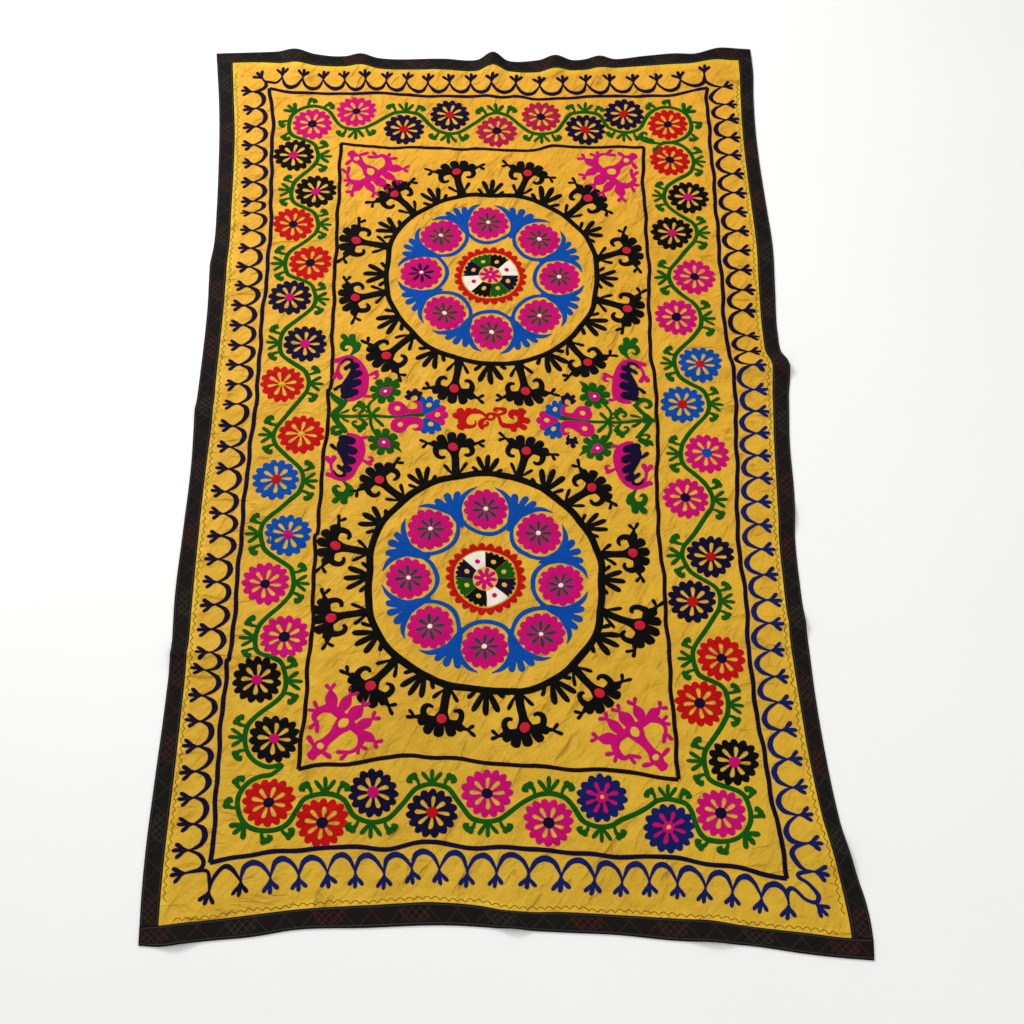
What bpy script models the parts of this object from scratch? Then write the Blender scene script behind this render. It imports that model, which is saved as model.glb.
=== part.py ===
"""Suzani embroidered textile: a satin ground cloth edged with four strips of woven tape, lying face up.

The part lies on the XY plane with its top edge toward +Y and its origin under the middle of its bounding
box. The outline is uneven, as hand-sewn cloth is, and low folds lift it off the surface here and there.
Every piece is a grid in the cloth's own coordinates, laid out between the four sides' edge tables, raised
by the fold table and thickened straight up.
"""

import math
from typing import NamedTuple

import bmesh
import bpy
import numpy as np

# Sizes, in metres
GROUND_THICKNESS = 0.002
TAPE_THICKNESS = 0.0026
PIECE_GAP = 0.0004

# Cells of the ground cloth across its width and along its length; a tape is one cell wide
GROUND_COLUMNS = 44
GROUND_ROWS = 76

COLLECTION_NAME = "suzani_embroidered_textile"


class Station(NamedTuple):
    """One place along a side of the cloth, measured from the middle of the embroidered design."""

    along: float  # Y on the left and right sides, X at the top and bottom
    edge: float  # the tape's outer edge: X on the left and right sides, Y at the top and bottom
    tape_width: float


class Fold(NamedTuple):
    """A soft ridge that is highest at its start and dies out at its end."""

    start_x: float
    start_y: float
    end_x: float
    end_y: float
    height: float
    half_width: float


LEFT_SIDE = (
    Station(-1.1875, -0.6656, 0.035),
    Station(-1.100, -0.6700, 0.037),
    Station(-1.000, -0.6715, 0.038),
    Station(-0.880, -0.6690, 0.038),
    Station(-0.700, -0.6640, 0.035),
    Station(-0.570, -0.6630, 0.035),
    Station(-0.450, -0.6675, 0.038),
    Station(-0.300, -0.6650, 0.035),
    Station(-0.120, -0.6625, 0.034),
    Station(0.000, -0.6660, 0.041),
    Station(0.100, -0.6640, 0.038),
    Station(0.300, -0.6630, 0.038),
    Station(0.430, -0.6670, 0.040),
    Station(0.500, -0.6635, 0.037),
    Station(0.600, -0.6660, 0.036),
    Station(0.750, -0.6735, 0.038),
    Station(0.850, -0.6800, 0.039),
    Station(0.950, -0.6890, 0.038),
    Station(1.060, -0.7020, 0.040),
    Station(1.119, -0.7090, 0.041),
)

RIGHT_SIDE = (
    Station(-1.214, 0.7260, 0.042),
    Station(-1.170, 0.7290, 0.042),
    Station(-1.100, 0.7230, 0.041),
    Station(-1.040, 0.7090, 0.035),
    Station(-0.980, 0.6965, 0.034),
    Station(-0.900, 0.6850, 0.034),
    Station(-0.800, 0.6755, 0.035),
    Station(-0.680, 0.6680, 0.035),
    Station(-0.550, 0.6645, 0.038),
    Station(-0.420, 0.6600, 0.036),
    Station(-0.300, 0.6600, 0.036),
    Station(-0.200, 0.6680, 0.039),
    Station(-0.050, 0.6710, 0.036),
    Station(0.070, 0.6800, 0.038),
    Station(0.163, 0.6860, 0.041),
    Station(0.200, 0.6730, 0.037),
    Station(0.250, 0.6700, 0.036),
    Station(0.380, 0.6750, 0.039),
    Station(0.500, 0.6805, 0.040),
    Station(0.650, 0.6750, 0.037),
    Station(0.780, 0.6700, 0.035),
    Station(0.880, 0.6690, 0.034),
    Station(1.000, 0.6730, 0.034),
    Station(1.090, 0.6790, 0.036),
    Station(1.166, 0.6770, 0.034),
)

TOP_SIDE = (
    Station(-0.709, 1.1190, 0.036),
    Station(-0.600, 1.1260, 0.036),
    Station(-0.510, 1.1310, 0.045),
    Station(-0.400, 1.1160, 0.036),
    Station(-0.335, 1.1200, 0.038),
    Station(-0.280, 1.1110, 0.037),
    Station(-0.120, 1.1140, 0.039),
    Station(-0.040, 1.1110, 0.039),
    Station(0.006, 1.1270, 0.043),
    Station(0.040, 1.1110, 0.037),
    Station(0.120, 1.1140, 0.043),
    Station(0.165, 1.1240, 0.044),
    Station(0.215, 1.1165, 0.037),
    Station(0.280, 1.1260, 0.040),
    Station(0.310, 1.1225, 0.033),
    Station(0.400, 1.1360, 0.036),
    Station(0.480, 1.1470, 0.038),
    Station(0.540, 1.1470, 0.034),
    Station(0.600, 1.1620, 0.039),
    Station(0.638, 1.1675, 0.042),
    Station(0.677, 1.1660, 0.038),
)

BOTTOM_SIDE = (
    Station(-0.666, -1.1875, 0.036),
    Station(-0.620, -1.1900, 0.042),
    Station(-0.550, -1.1800, 0.040),
    Station(-0.450, -1.1700, 0.043),
    Station(-0.380, -1.1580, 0.040),
    Station(-0.240, -1.1530, 0.044),
    Station(-0.080, -1.1480, 0.044),
    Station(-0.020, -1.1510, 0.041),
    Station(0.030, -1.1555, 0.036),
    Station(0.140, -1.1615, 0.040),
    Station(0.240, -1.1660, 0.039),
    Station(0.340, -1.1760, 0.043),
    Station(0.420, -1.1810, 0.043),
    Station(0.500, -1.1875, 0.038),
    Station(0.600, -1.2020, 0.041),
    Station(0.680, -1.2105, 0.040),
    Station(0.726, -1.2140, 0.042),
)

FOLDS = (
    # Buckles that run down from the top edge
    Fold(-0.510, 1.160, -0.480, 0.960, 0.011, 0.050),
    Fold(-0.338, 1.160, -0.330, 0.960, 0.009, 0.042),
    Fold(0.006, 1.170, 0.002, 0.960, 0.016, 0.042),
    Fold(0.167, 1.160, 0.160, 0.980, 0.011, 0.045),
    Fold(0.285, 1.160, 0.275, 0.980, 0.009, 0.042),
    Fold(0.600, 1.200, 0.520, 1.000, 0.010, 0.060),
    # Creases that run in from the right side
    Fold(0.720, 0.165, 0.340, 0.130, 0.012, 0.045),
    Fold(0.700, -0.500, 0.360, -0.520, 0.007, 0.045),
    Fold(0.700, -0.240, 0.520, -0.260, 0.006, 0.050),
    Fold(0.770, -1.030, 0.500, -0.930, 0.010, 0.060),
    # Creases that run in from the left side
    Fold(-0.700, 0.430, -0.560, 0.440, 0.006, 0.050),
    Fold(-0.700, 0.010, -0.430, 0.020, 0.008, 0.045),
    Fold(-0.690, -0.592, -0.180, -0.600, 0.009, 0.045),
    Fold(-0.450, -0.300, -0.330, -0.302, 0.005, 0.040),
    # Buckles that run up from the bottom edge
    Fold(0.040, -1.190, 0.050, -1.040, 0.008, 0.045),
    Fold(-0.600, -1.220, -0.570, -1.080, 0.007, 0.050),
    Fold(0.430, -1.220, 0.400, -1.080, 0.007, 0.055),
    # Slack in the lower field
    Fold(-0.240, -0.660, 0.020, -0.810, 0.005, 0.050),
)


def smooth_through(stations, values, at):
    """Reads a smooth curve through a side's stations: a cubic whose slopes follow the neighbours."""
    slopes = np.gradient(values, stations)
    index = np.clip(np.searchsorted(stations, at) - 1, 0, len(stations) - 2)
    span = stations[index + 1] - stations[index]
    t = np.clip((at - stations[index]) / span, 0.0, 1.0)
    start, end = values[index], values[index + 1]
    start_slope, end_slope = slopes[index] * span, slopes[index + 1] * span
    return (
        start * (2 * t**3 - 3 * t**2 + 1)
        + end * (3 * t**2 - 2 * t**3)
        + start_slope * (t**3 - 2 * t**2 + t)
        + end_slope * (t**3 - t**2)
    )


def side_lines(side, inward):
    """Makes the tape's outer and inner line of one side; inward is the sign of the way to the middle."""
    rows = np.array(side)
    along, outer, inner = rows[:, 0], rows[:, 1], rows[:, 1] + inward * rows[:, 2]
    return (
        lambda at: smooth_through(along, outer, at),
        lambda at: smooth_through(along, inner, at),
    )


LEFT_OUTER, LEFT_INNER = side_lines(LEFT_SIDE, 1)
RIGHT_OUTER, RIGHT_INNER = side_lines(RIGHT_SIDE, -1)
TOP_OUTER, TOP_INNER = side_lines(TOP_SIDE, -1)
BOTTOM_OUTER, BOTTOM_INNER = side_lines(BOTTOM_SIDE, 1)


def between(share, lines, at):
    """Blends four lines: share -1 is the first, 0 the second, 1 the third and 2 the fourth."""
    places = np.array([line(at) for line in lines])
    cell = np.clip(np.floor(share).astype(int) + 1, 0, 2)
    part = share - (cell - 1)
    columns = np.arange(len(share))
    return places[cell, columns] * (1 - part) + places[cell + 1, columns] * part


def lay_out(across, along):
    """Places cloth coordinates on the surface: 0 to 1 is the ground cloth, beyond it the tapes.

    X depends on the left and right lines at Y, and Y on the top and bottom lines at X, so the two are
    worked out in turn until they agree.
    """
    x, y = across * 1.3 - 0.65, along * 2.2 - 1.1
    for _ in range(12):
        x = between(across, (LEFT_OUTER, LEFT_INNER, RIGHT_INNER, RIGHT_OUTER), y)
        y = between(along, (BOTTOM_OUTER, BOTTOM_INNER, TOP_INNER, TOP_OUTER), x)
    return x, y


def fold_height(x, y):
    """Height of the cloth's underside above the surface, the highest of the folds at each point."""
    height = np.zeros_like(x)
    for fold in FOLDS:
        run_x, run_y = fold.end_x - fold.start_x, fold.end_y - fold.start_y
        length = math.hypot(run_x, run_y)
        from_x, from_y = x - fold.start_x, y - fold.start_y
        share = (from_x * run_x + from_y * run_y) / length**2
        aside = np.abs(from_x * run_y - from_y * run_x) / length
        crest = np.cos(np.clip(share, 0.0, 1.0) * math.pi / 2) ** 1.2
        across = np.cos(np.clip(aside / fold.half_width, 0.0, 1.0) * math.pi / 2) ** 2
        height = np.maximum(height, np.where(share > -0.2, fold.height * crest * across, 0.0))
    return height


def box_middle():
    """Finds the middle of the cloth's outline, which becomes the part's origin."""
    shares = np.linspace(-1.0, 2.0, 1201)
    low, high = np.full_like(shares, -1.0), np.full_like(shares, 2.0)
    left, right = lay_out(low, shares)[0], lay_out(high, shares)[0]
    bottom, top = lay_out(shares, low)[1], lay_out(shares, high)[1]
    return (left.min() + right.max()) / 2, (bottom.min() + top.max()) / 2


def cloth_stations(first, last, ground_cells):
    """Lists grid lines from first to last: the ground's cells are even, and each tape is one cell."""
    lines = np.concatenate([[-1.0], np.linspace(0.0, 1.0, ground_cells + 1), [2.0]])
    return lines[(lines >= first) & (lines <= last)]


def make_material(name, colour, roughness):
    material = bpy.data.materials.new(name)
    material.use_nodes = True
    shader = material.node_tree.nodes["Principled BSDF"]
    shader.inputs["Base Color"].default_value = (*colour, 1.0)
    shader.inputs["Roughness"].default_value = roughness
    shader.inputs["Metallic"].default_value = 0.0
    return material


def make_piece(name, columns, rows, thickness, material, collection, origin):
    """Builds one piece of cloth over the given grid lines and keeps a gap to its neighbours."""
    mesh_work = bmesh.new()
    bmesh.ops.create_grid(
        mesh_work, x_segments=len(columns) - 1, y_segments=len(rows) - 1, size=0.5
    )
    grid = np.array([vertex.co[:2] for vertex in mesh_work.verts]) + 0.5
    column_index = np.rint(grid[:, 0] * (len(columns) - 1)).astype(int)
    row_index = np.rint(grid[:, 1] * (len(rows) - 1)).astype(int)
    x, y = lay_out(columns[column_index], rows[row_index])
    z = fold_height(x, y)
    inset_x = np.where(column_index == 0, 1, 0) - np.where(column_index == len(columns) - 1, 1, 0)
    inset_y = np.where(row_index == 0, 1, 0) - np.where(row_index == len(rows) - 1, 1, 0)
    x = x + inset_x * PIECE_GAP / 2 - origin[0]
    y = y + inset_y * PIECE_GAP / 2 - origin[1]
    for vertex, place in zip(mesh_work.verts, np.column_stack([x, y, z])):
        vertex.co = place
    bmesh.ops.triangulate(mesh_work, faces=mesh_work.faces[:])
    raised = bmesh.ops.extrude_face_region(mesh_work, geom=mesh_work.faces[:], use_keep_orig=True)
    top = [item for item in raised["geom"] if isinstance(item, bmesh.types.BMVert)]
    bmesh.ops.translate(mesh_work, verts=top, vec=(0.0, 0.0, thickness))
    bmesh.ops.recalc_face_normals(mesh_work, faces=mesh_work.faces[:])
    mesh = bpy.data.meshes.new(name)
    mesh_work.to_mesh(mesh)
    mesh_work.free()
    mesh.materials.append(material)
    piece = bpy.data.objects.new(name, mesh)
    collection.objects.link(piece)
    return piece


def main():
    for old in list(bpy.data.objects):
        bpy.data.objects.remove(old, do_unlink=True)
    collection = bpy.data.collections.new(COLLECTION_NAME)
    bpy.context.scene.collection.children.link(collection)

    satin = make_material("golden_satin", (0.69, 0.37, 0.03), 0.45)
    tape = make_material("dark_woven_tape", (0.012, 0.010, 0.010), 0.85)
    origin = box_middle()

    ground_columns = cloth_stations(0, 1, GROUND_COLUMNS)
    ground_rows = cloth_stations(0, 1, GROUND_ROWS)
    full_columns = cloth_stations(-1, 2, GROUND_COLUMNS)
    low_side, high_side = np.array([-1.0, 0.0]), np.array([1.0, 2.0])

    make_piece(
        "ground_cloth", ground_columns, ground_rows, GROUND_THICKNESS, satin, collection, origin
    )
    make_piece("binding_top", full_columns, high_side, TAPE_THICKNESS, tape, collection, origin)
    make_piece("binding_bottom", full_columns, low_side, TAPE_THICKNESS, tape, collection, origin)
    make_piece("binding_left", low_side, ground_rows, TAPE_THICKNESS, tape, collection, origin)
    make_piece("binding_right", high_side, ground_rows, TAPE_THICKNESS, tape, collection, origin)


if __name__ == "__main__":
    main()
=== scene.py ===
"""Suzani embroidered textile, laid out face up on a pale floor.

A golden satin ground carries chain-stitched motifs: a scalloped edging, a border of blooms on a vine, two
ringed medallions with palmettes, corner sprays and a middle band. A dark woven tape edges the cloth.
Motifs are drawn flat in the cloth's plan, in metres from the middle of the design, and then laid on the
cloth's own folds and creases.
"""

from __future__ import annotations

import logging
import math
from dataclasses import dataclass, field
from enum import Enum
from typing import Callable, Iterable, NamedTuple, Sequence

import bmesh
import bpy
import numpy as np
from mathutils import Matrix, Vector


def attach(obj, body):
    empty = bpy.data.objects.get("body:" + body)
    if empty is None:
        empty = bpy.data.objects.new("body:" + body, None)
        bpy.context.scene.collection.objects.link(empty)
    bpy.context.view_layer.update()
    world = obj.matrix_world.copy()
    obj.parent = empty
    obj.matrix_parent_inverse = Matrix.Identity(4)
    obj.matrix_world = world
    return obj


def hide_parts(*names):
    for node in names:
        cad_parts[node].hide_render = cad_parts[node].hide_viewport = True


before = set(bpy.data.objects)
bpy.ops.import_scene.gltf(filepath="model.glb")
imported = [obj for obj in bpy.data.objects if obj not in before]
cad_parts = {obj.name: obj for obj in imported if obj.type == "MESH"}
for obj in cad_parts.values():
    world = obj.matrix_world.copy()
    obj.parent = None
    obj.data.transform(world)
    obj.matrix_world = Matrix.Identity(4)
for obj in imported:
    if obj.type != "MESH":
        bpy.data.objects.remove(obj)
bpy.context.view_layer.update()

log = logging.getLogger("suzani")
MM = 0.001
BODY = "root"
Points = Sequence[tuple[float, float]]
NodeTree = bpy.types.NodeTree
Node = bpy.types.Node
Socket = bpy.types.NodeSocket


class Station(NamedTuple):
    """One place along a side of the cloth: along it, the tape's outer edge there, and the tape's width."""

    along: float
    edge: float
    tape_width: float


class Fold(NamedTuple):
    """A soft ridge or, with a negative height, a trough that is deepest at its start and dies out."""

    start_x: float
    start_y: float
    end_x: float
    end_y: float
    height: float
    half_width: float


def folds(*rows: tuple[float, ...]) -> tuple[Fold, ...]:
    """Turns rows in millimetres into folds."""
    return tuple(Fold(*(value * MM for value in row)) for row in rows)


def stations(*rows: tuple[float, float, float]) -> tuple[Station, ...]:
    """Turns rows in millimetres into stations: along the side, the outer edge and the tape's width."""
    return tuple(Station(*(value * MM for value in row)) for row in rows)


LEFT_SIDE = stations(
    (-1187.5, -665.6, 35), (-1100, -670, 37), (-1000, -671.5, 38), (-880, -669, 38), (-700, -664, 35),
    (-570, -663, 35), (-450, -667.5, 38), (-300, -665, 35), (-120, -662.5, 34), (0, -666, 41),
    (100, -664, 38), (300, -663, 38), (430, -667, 40), (500, -663.5, 37), (600, -666, 36),
    (750, -673.5, 38), (850, -680, 39), (950, -689, 38), (1060, -702, 40), (1119, -709, 41),
)

RIGHT_SIDE = stations(
    (-1214, 726, 42), (-1170, 729, 42), (-1100, 723, 41), (-1040, 709, 35), (-980, 696.5, 34),
    (-900, 685, 34), (-800, 675.5, 35), (-680, 668, 35), (-550, 664.5, 38), (-420, 660, 36),
    (-300, 660, 36), (-200, 668, 39), (-50, 671, 36), (70, 680, 38), (163, 686, 41), (200, 673, 37),
    (250, 670, 36), (380, 675, 39), (500, 680.5, 40), (650, 675, 37), (780, 670, 35), (880, 669, 34),
    (1000, 673, 34), (1090, 679, 36), (1166, 677, 34),
)

TOP_SIDE = stations(
    (-709, 1119, 36), (-600, 1126, 36), (-510, 1131, 45), (-400, 1116, 36), (-335, 1120, 38),
    (-280, 1111, 37), (-120, 1114, 39), (-40, 1111, 39), (6, 1127, 43), (40, 1111, 37), (120, 1114, 43),
    (165, 1124, 44), (215, 1116.5, 37), (280, 1126, 40), (310, 1122.5, 33), (400, 1136, 36),
    (480, 1147, 38), (540, 1147, 34), (600, 1162, 39), (638, 1167.5, 42), (677, 1166, 38),
)

BOTTOM_SIDE = stations(
    (-666, -1187.5, 36), (-620, -1190, 42), (-550, -1180, 40), (-450, -1170, 43), (-380, -1158, 40),
    (-240, -1153, 44), (-80, -1148, 44), (-20, -1151, 41), (30, -1155.5, 36), (140, -1161.5, 40),
    (240, -1166, 39), (340, -1176, 43), (420, -1181, 43), (500, -1187.5, 38), (600, -1202, 41),
    (680, -1210.5, 40), (726, -1214, 42),
)

FOLDS = folds(
    # Buckles that run down from the top edge
    (-510, 1160, -480, 960, 11, 50), (-338, 1160, -330, 960, 9, 42), (6, 1170, 2, 960, 16, 42),
    (167, 1160, 160, 980, 11, 45), (285, 1160, 275, 980, 9, 42), (600, 1200, 520, 1000, 10, 60),
    # Creases that run in from the right side
    (720, 165, 340, 130, 12, 45), (700, -500, 360, -520, 7, 45), (700, -240, 520, -260, 6, 50),
    (770, -1030, 500, -930, 10, 60),
    # Creases that run in from the left side
    (-700, 430, -560, 440, 6, 50), (-700, 10, -430, 20, 8, 45), (-690, -592, -180, -600, 9, 45),
    (-450, -300, -330, -302, 5, 40),
    # Buckles that run up from the bottom edge
    (40, -1190, 50, -1040, 8, 45), (-600, -1220, -570, -1080, 7, 50), (430, -1220, 400, -1080, 7, 55),
    # Slack in the lower field
    (-240, -660, 20, -810, 5, 50),
)

CREASES = folds(
    # Sharp ridge and trough of the tuck across the lower left border
    (-650, -588, -150, -598, 3.5, 12), (-650, -600, -180, -610, -2, 10),
    # Crease at the kink in the right side
    (680, 150, 330, 132, 3, 12), (660, -505, 370, -520, 2.2, 12), (-640, 18, -420, 20, 2.2, 12),
    (-560, 87, -360, 83, 2.2, 11), (-550, -300, -360, -303, 2.2, 11), (-370, 640, -250, 625, 2.4, 12),
    # Soft drags across the field
    (-210, -690, -20, -790, 2.6, 16), (-110, -670, 50, -770, 2.2, 15), (120, -700, 230, -810, 2.4, 16),
    (190, 700, 330, 600, 2.2, 16), (-350, 560, -270, 610, 2.4, 14), (-120, 790, -220, 730, 2.2, 15),
    (340, 330, 270, 210, 2.2, 14), (360, -200, 240, -130, 2, 14), (-350, -660, -230, -690, 2.6, 14),
    (350, -620, 270, -700, 2.2, 14), (-50, 85, 60, 120, 1.8, 12), (-70, -90, 50, -110, 1.8, 12),
)


def smooth_through(stations: np.ndarray, values: np.ndarray, at: np.ndarray) -> np.ndarray:
    """Reads a smooth curve through a side's stations: a cubic whose slopes follow the neighbours.

    Args:
        stations: Places along the side, rising.
        values: The curve's value at each station.
        at: Places to read.

    Returns:
        The curve's value at each place.
    """
    slopes = np.gradient(values, stations)
    index = np.clip(np.searchsorted(stations, at) - 1, 0, len(stations) - 2)
    span = stations[index + 1] - stations[index]
    t = np.clip((at - stations[index]) / span, 0.0, 1.0)
    return (
        values[index] * (2 * t**3 - 3 * t**2 + 1)
        + values[index + 1] * (3 * t**2 - 2 * t**3)
        + slopes[index] * span * (t**3 - 2 * t**2 + t)
        + slopes[index + 1] * span * (t**3 - t**2)
    )


def side_lines(side: Sequence[Station], inward: int) -> tuple[Callable, Callable]:
    """Makes the outer and inner line of one side's tape.

    Args:
        side: The side's stations.
        inward: Sign of the way to the middle of the cloth.

    Returns:
        Two functions of the place along the side.
    """
    rows = np.array(side)
    along, outer, inner = rows[:, 0], rows[:, 1], rows[:, 1] + inward * rows[:, 2]
    return (
        lambda at: smooth_through(along, outer, at),
        lambda at: smooth_through(along, inner, at),
    )


@dataclass
class Cloth:
    """The cloth's outline and the shape of its upper face, which everything else is laid on."""

    thickness: float = 0.002
    rough_size: tuple[float, float] = (1.3, 2.2)
    layout_rounds: int = 12
    height_step: float = 0.0025
    wrinkle_count: int = 1300
    wrinkle_seed: int = 7
    wrinkle_x: tuple[float, float] = (-0.63, 0.64)
    wrinkle_y: tuple[float, float] = (-1.12, 1.08)
    wrinkle_half_length: tuple[float, float] = (0.015, 0.050)
    wrinkle_half_width: tuple[float, float] = (0.0045, 0.0080)
    wrinkle_rise: tuple[float, float] = (0.0006, 0.0022)
    lines: dict[str, tuple[Callable, Callable]] = field(init=False)
    middle: tuple[float, float] = field(init=False)
    heights: np.ndarray = field(init=False)
    low: tuple[float, float] = (-0.76, -1.26)
    high: tuple[float, float] = (0.78, 1.22)

    # Power of a fold's fall along its length, and the share of it that a fold reaches back past its start
    FADE = 1.2
    OVERRUN = 0.2
    # Unevenness of the hand in X and in Y: reach in metres, waves in X and in Y, and start
    UNEVEN = (
        ((0.0014, 11, 37, 0), (0.0009, -29, 83, 1)),
        ((0.0014, 41, -13, 0), (0.0009, 71, 33, 2)),
    )

    def __post_init__(self) -> None:
        """Works out the side lines, the middle of the outline and the height of the upper face."""
        self.lines = {
            "left": side_lines(LEFT_SIDE, 1),
            "right": side_lines(RIGHT_SIDE, -1),
            "top": side_lines(TOP_SIDE, -1),
            "bottom": side_lines(BOTTOM_SIDE, 1),
        }
        self.middle = self.box_middle()
        self.heights = self.height_map()

    def between(self, share: np.ndarray, near: str, far: str, at: np.ndarray) -> np.ndarray:
        """Blends across the tape, the ground cloth and the other tape.

        Args:
            share: -1 to 0 is the near tape, 0 to 1 the ground cloth, 1 to 2 the far tape.
            near: The side where share is below 0.
            far: The opposite side.
            at: Places along the sides.

        Returns:
            The places across the cloth.
        """
        (near_outer, near_inner), (far_outer, far_inner) = self.lines[near], self.lines[far]
        places = np.array([near_outer(at), near_inner(at), far_inner(at), far_outer(at)])
        cell = np.clip(np.floor(share).astype(int) + 1, 0, 2)
        part = share - (cell - 1)
        columns = np.arange(len(share))
        return places[cell, columns] * (1 - part) + places[cell + 1, columns] * part

    def lay_out(self, across: np.ndarray, along: np.ndarray) -> tuple[np.ndarray, np.ndarray]:
        """Places cloth coordinates on the plan, X and Y in turn until they agree.

        Args:
            across: 0 to 1 across the ground cloth, and a tape beyond each end.
            along: 0 to 1 up the ground cloth, and a tape beyond each end.

        Returns:
            X and Y in the plan.
        """
        width, length = self.rough_size
        x, y = across * width - width / 2, along * length - length / 2
        for _ in range(self.layout_rounds):
            x = self.between(across, "left", "right", y)
            y = self.between(along, "bottom", "top", x)
        return x, y

    def box_middle(self) -> tuple[float, float]:
        """Finds the middle of the outline, which is the part's origin."""
        shares = np.linspace(-1.0, 2.0, 1201)
        low, high = np.full_like(shares, -1.0), np.full_like(shares, 2.0)
        left, right = self.lay_out(low, shares)[0], self.lay_out(high, shares)[0]
        bottom, top = self.lay_out(shares, low)[1], self.lay_out(shares, high)[1]
        return (left.min() + right.max()) / 2, (bottom.min() + top.max()) / 2

    @staticmethod
    def fold_shape(fold: Fold, x: np.ndarray, y: np.ndarray) -> np.ndarray:
        """Height that one fold adds, full at its start and none at its end."""
        run_x, run_y = fold.end_x - fold.start_x, fold.end_y - fold.start_y
        length = math.hypot(run_x, run_y)
        from_x, from_y = x - fold.start_x, y - fold.start_y
        share = (from_x * run_x + from_y * run_y) / length**2
        aside = np.abs(from_x * run_y - from_y * run_x) / length
        crest = np.cos(np.clip(share, 0.0, 1.0) * math.pi / 2) ** Cloth.FADE
        across = np.cos(np.clip(aside / fold.half_width, 0.0, 1.0) * math.pi / 2) ** 2
        return np.where(share > -Cloth.OVERRUN, fold.height * crest * across, 0.0)

    def height_map(self) -> np.ndarray:
        """Height of the upper face over an even grid: folds, creases and small stitched-in wrinkles."""
        xs = np.arange(self.low[0], self.high[0], self.height_step)
        ys = np.arange(self.low[1], self.high[1], self.height_step)
        x, y = np.meshgrid(xs, ys)
        height = np.zeros_like(x)
        for fold in FOLDS:
            height = np.maximum(height, self.fold_shape(fold, x, y))
        for crease in CREASES:
            height += self.fold_shape(crease, x, y)
        self.add_wrinkles(height, xs, ys)
        return np.maximum(height, 0.0) + self.thickness

    def add_wrinkles(self, height: np.ndarray, xs: np.ndarray, ys: np.ndarray) -> None:
        """Adds short shallow drag lines, which stitching leaves in satin."""
        random = np.random.default_rng(self.wrinkle_seed)
        for _ in range(self.wrinkle_count):
            cx, cy = random.uniform(*self.wrinkle_x), random.uniform(*self.wrinkle_y)
            half_length = random.uniform(*self.wrinkle_half_length)
            half_width = random.uniform(*self.wrinkle_half_width)
            in_border = abs(cx) > 0.38 or abs(cy) > 0.82
            turn = random.normal(0.1, 0.4) if in_border else random.normal(1.0, 0.45)
            rise = random.uniform(*self.wrinkle_rise)
            i0, i1 = np.searchsorted(xs, (cx - half_length, cx + half_length))
            j0, j1 = np.searchsorted(ys, (cy - half_length, cy + half_length))
            dx, dy = np.meshgrid(xs[i0:i1] - cx, ys[j0:j1] - cy)
            along = (dx * math.cos(turn) + dy * math.sin(turn)) / half_length
            aside = (-dx * math.sin(turn) + dy * math.cos(turn)) / half_width
            shape = np.clip(1 - along**2, 0, 1) ** 1.5 * np.exp(-(aside**2))
            height[j0:j1, i0:i1] += rise * shape

    def top(self, x: np.ndarray, y: np.ndarray) -> np.ndarray:
        """Height of the upper face at plan places, read between the grid's points."""
        i = np.clip((x - self.low[0]) / self.height_step, 0, self.heights.shape[1] - 1.001)
        j = np.clip((y - self.low[1]) / self.height_step, 0, self.heights.shape[0] - 1.001)
        i0, j0 = i.astype(int), j.astype(int)
        u, v = i - i0, j - j0
        h = self.heights
        return (h[j0, i0] * (1 - u) + h[j0, i0 + 1] * u) * (1 - v) + (
            h[j0 + 1, i0] * (1 - u) + h[j0 + 1, i0 + 1] * u
        ) * v

    def drape(self, points: np.ndarray) -> np.ndarray:
        """Lays plan points on the cloth and moves them to the part's frame.

        Args:
            points: X and Y in the plan and the height over the cloth's face.

        Returns:
            Points in the part's frame.
        """
        x, y, lift = points.T
        uneven = []
        for place, waves in zip((x, y), self.UNEVEN):
            for reach, in_x, in_y, start in waves:
                place = place + reach * np.sin(in_x * x + in_y * y + start)
            uneven.append(place)
        z = self.top(*uneven) + lift
        return np.column_stack([uneven[0] - self.middle[0], uneven[1] - self.middle[1], z])


# Finishes


def linear(colour: str) -> tuple[float, float, float, float]:
    """Turns an sRGB hex colour into linear values."""
    channels = [int(colour[i : i + 2], 16) / 255 for i in (1, 3, 5)]
    red, green, blue = (c / 12.92 if c <= 0.04045 else ((c + 0.055) / 1.055) ** 2.4 for c in channels)
    return red, green, blue, 1.0


def add_node(tree: NodeTree, kind: str, inputs: dict | None = None, **settings: object) -> Node:
    """Adds a node with its settings and links.

    Args:
        tree: The tree that it joins.
        kind: The node's type name.
        inputs: Socket name or number to a value, or to the output socket that feeds it.
        settings: Attributes of the node itself.

    Returns:
        The new node.
    """
    node = tree.nodes.new(kind)
    for name, value in settings.items():
        setattr(node, name, value)
    for name, value in (inputs or {}).items():
        if isinstance(value, Socket):
            tree.links.new(value, node.inputs[name])
        else:
            node.inputs[name].default_value = value
    return node


def maths(tree: NodeTree, operation: str, *values: object) -> Socket:
    """Adds a math step and returns its result."""
    node = add_node(tree, "ShaderNodeMath", dict(enumerate(values)), operation=operation)
    return node.outputs[0]


def noise(tree: NodeTree, place: Socket, scale: float, detail: float, **more: float) -> Socket:
    """Adds soft noise and returns its strength."""
    inputs = {"Vector": place, "Scale": scale, "Detail": detail}
    inputs.update({name.title(): value for name, value in more.items()})
    return add_node(tree, "ShaderNodeTexNoise", inputs).outputs["Fac"]


def remap(
    tree: NodeTree, value: Socket, low: float, high: float, to_low: float = 0.0, to_high: float = 1.0
) -> Socket:
    """Stretches one range of values to another and clips what lies outside."""
    ends = {"From Min": low, "From Max": high, "To Min": to_low, "To Max": to_high}
    return add_node(tree, "ShaderNodeMapRange", {"Value": value, **ends}).outputs[0]


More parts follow.
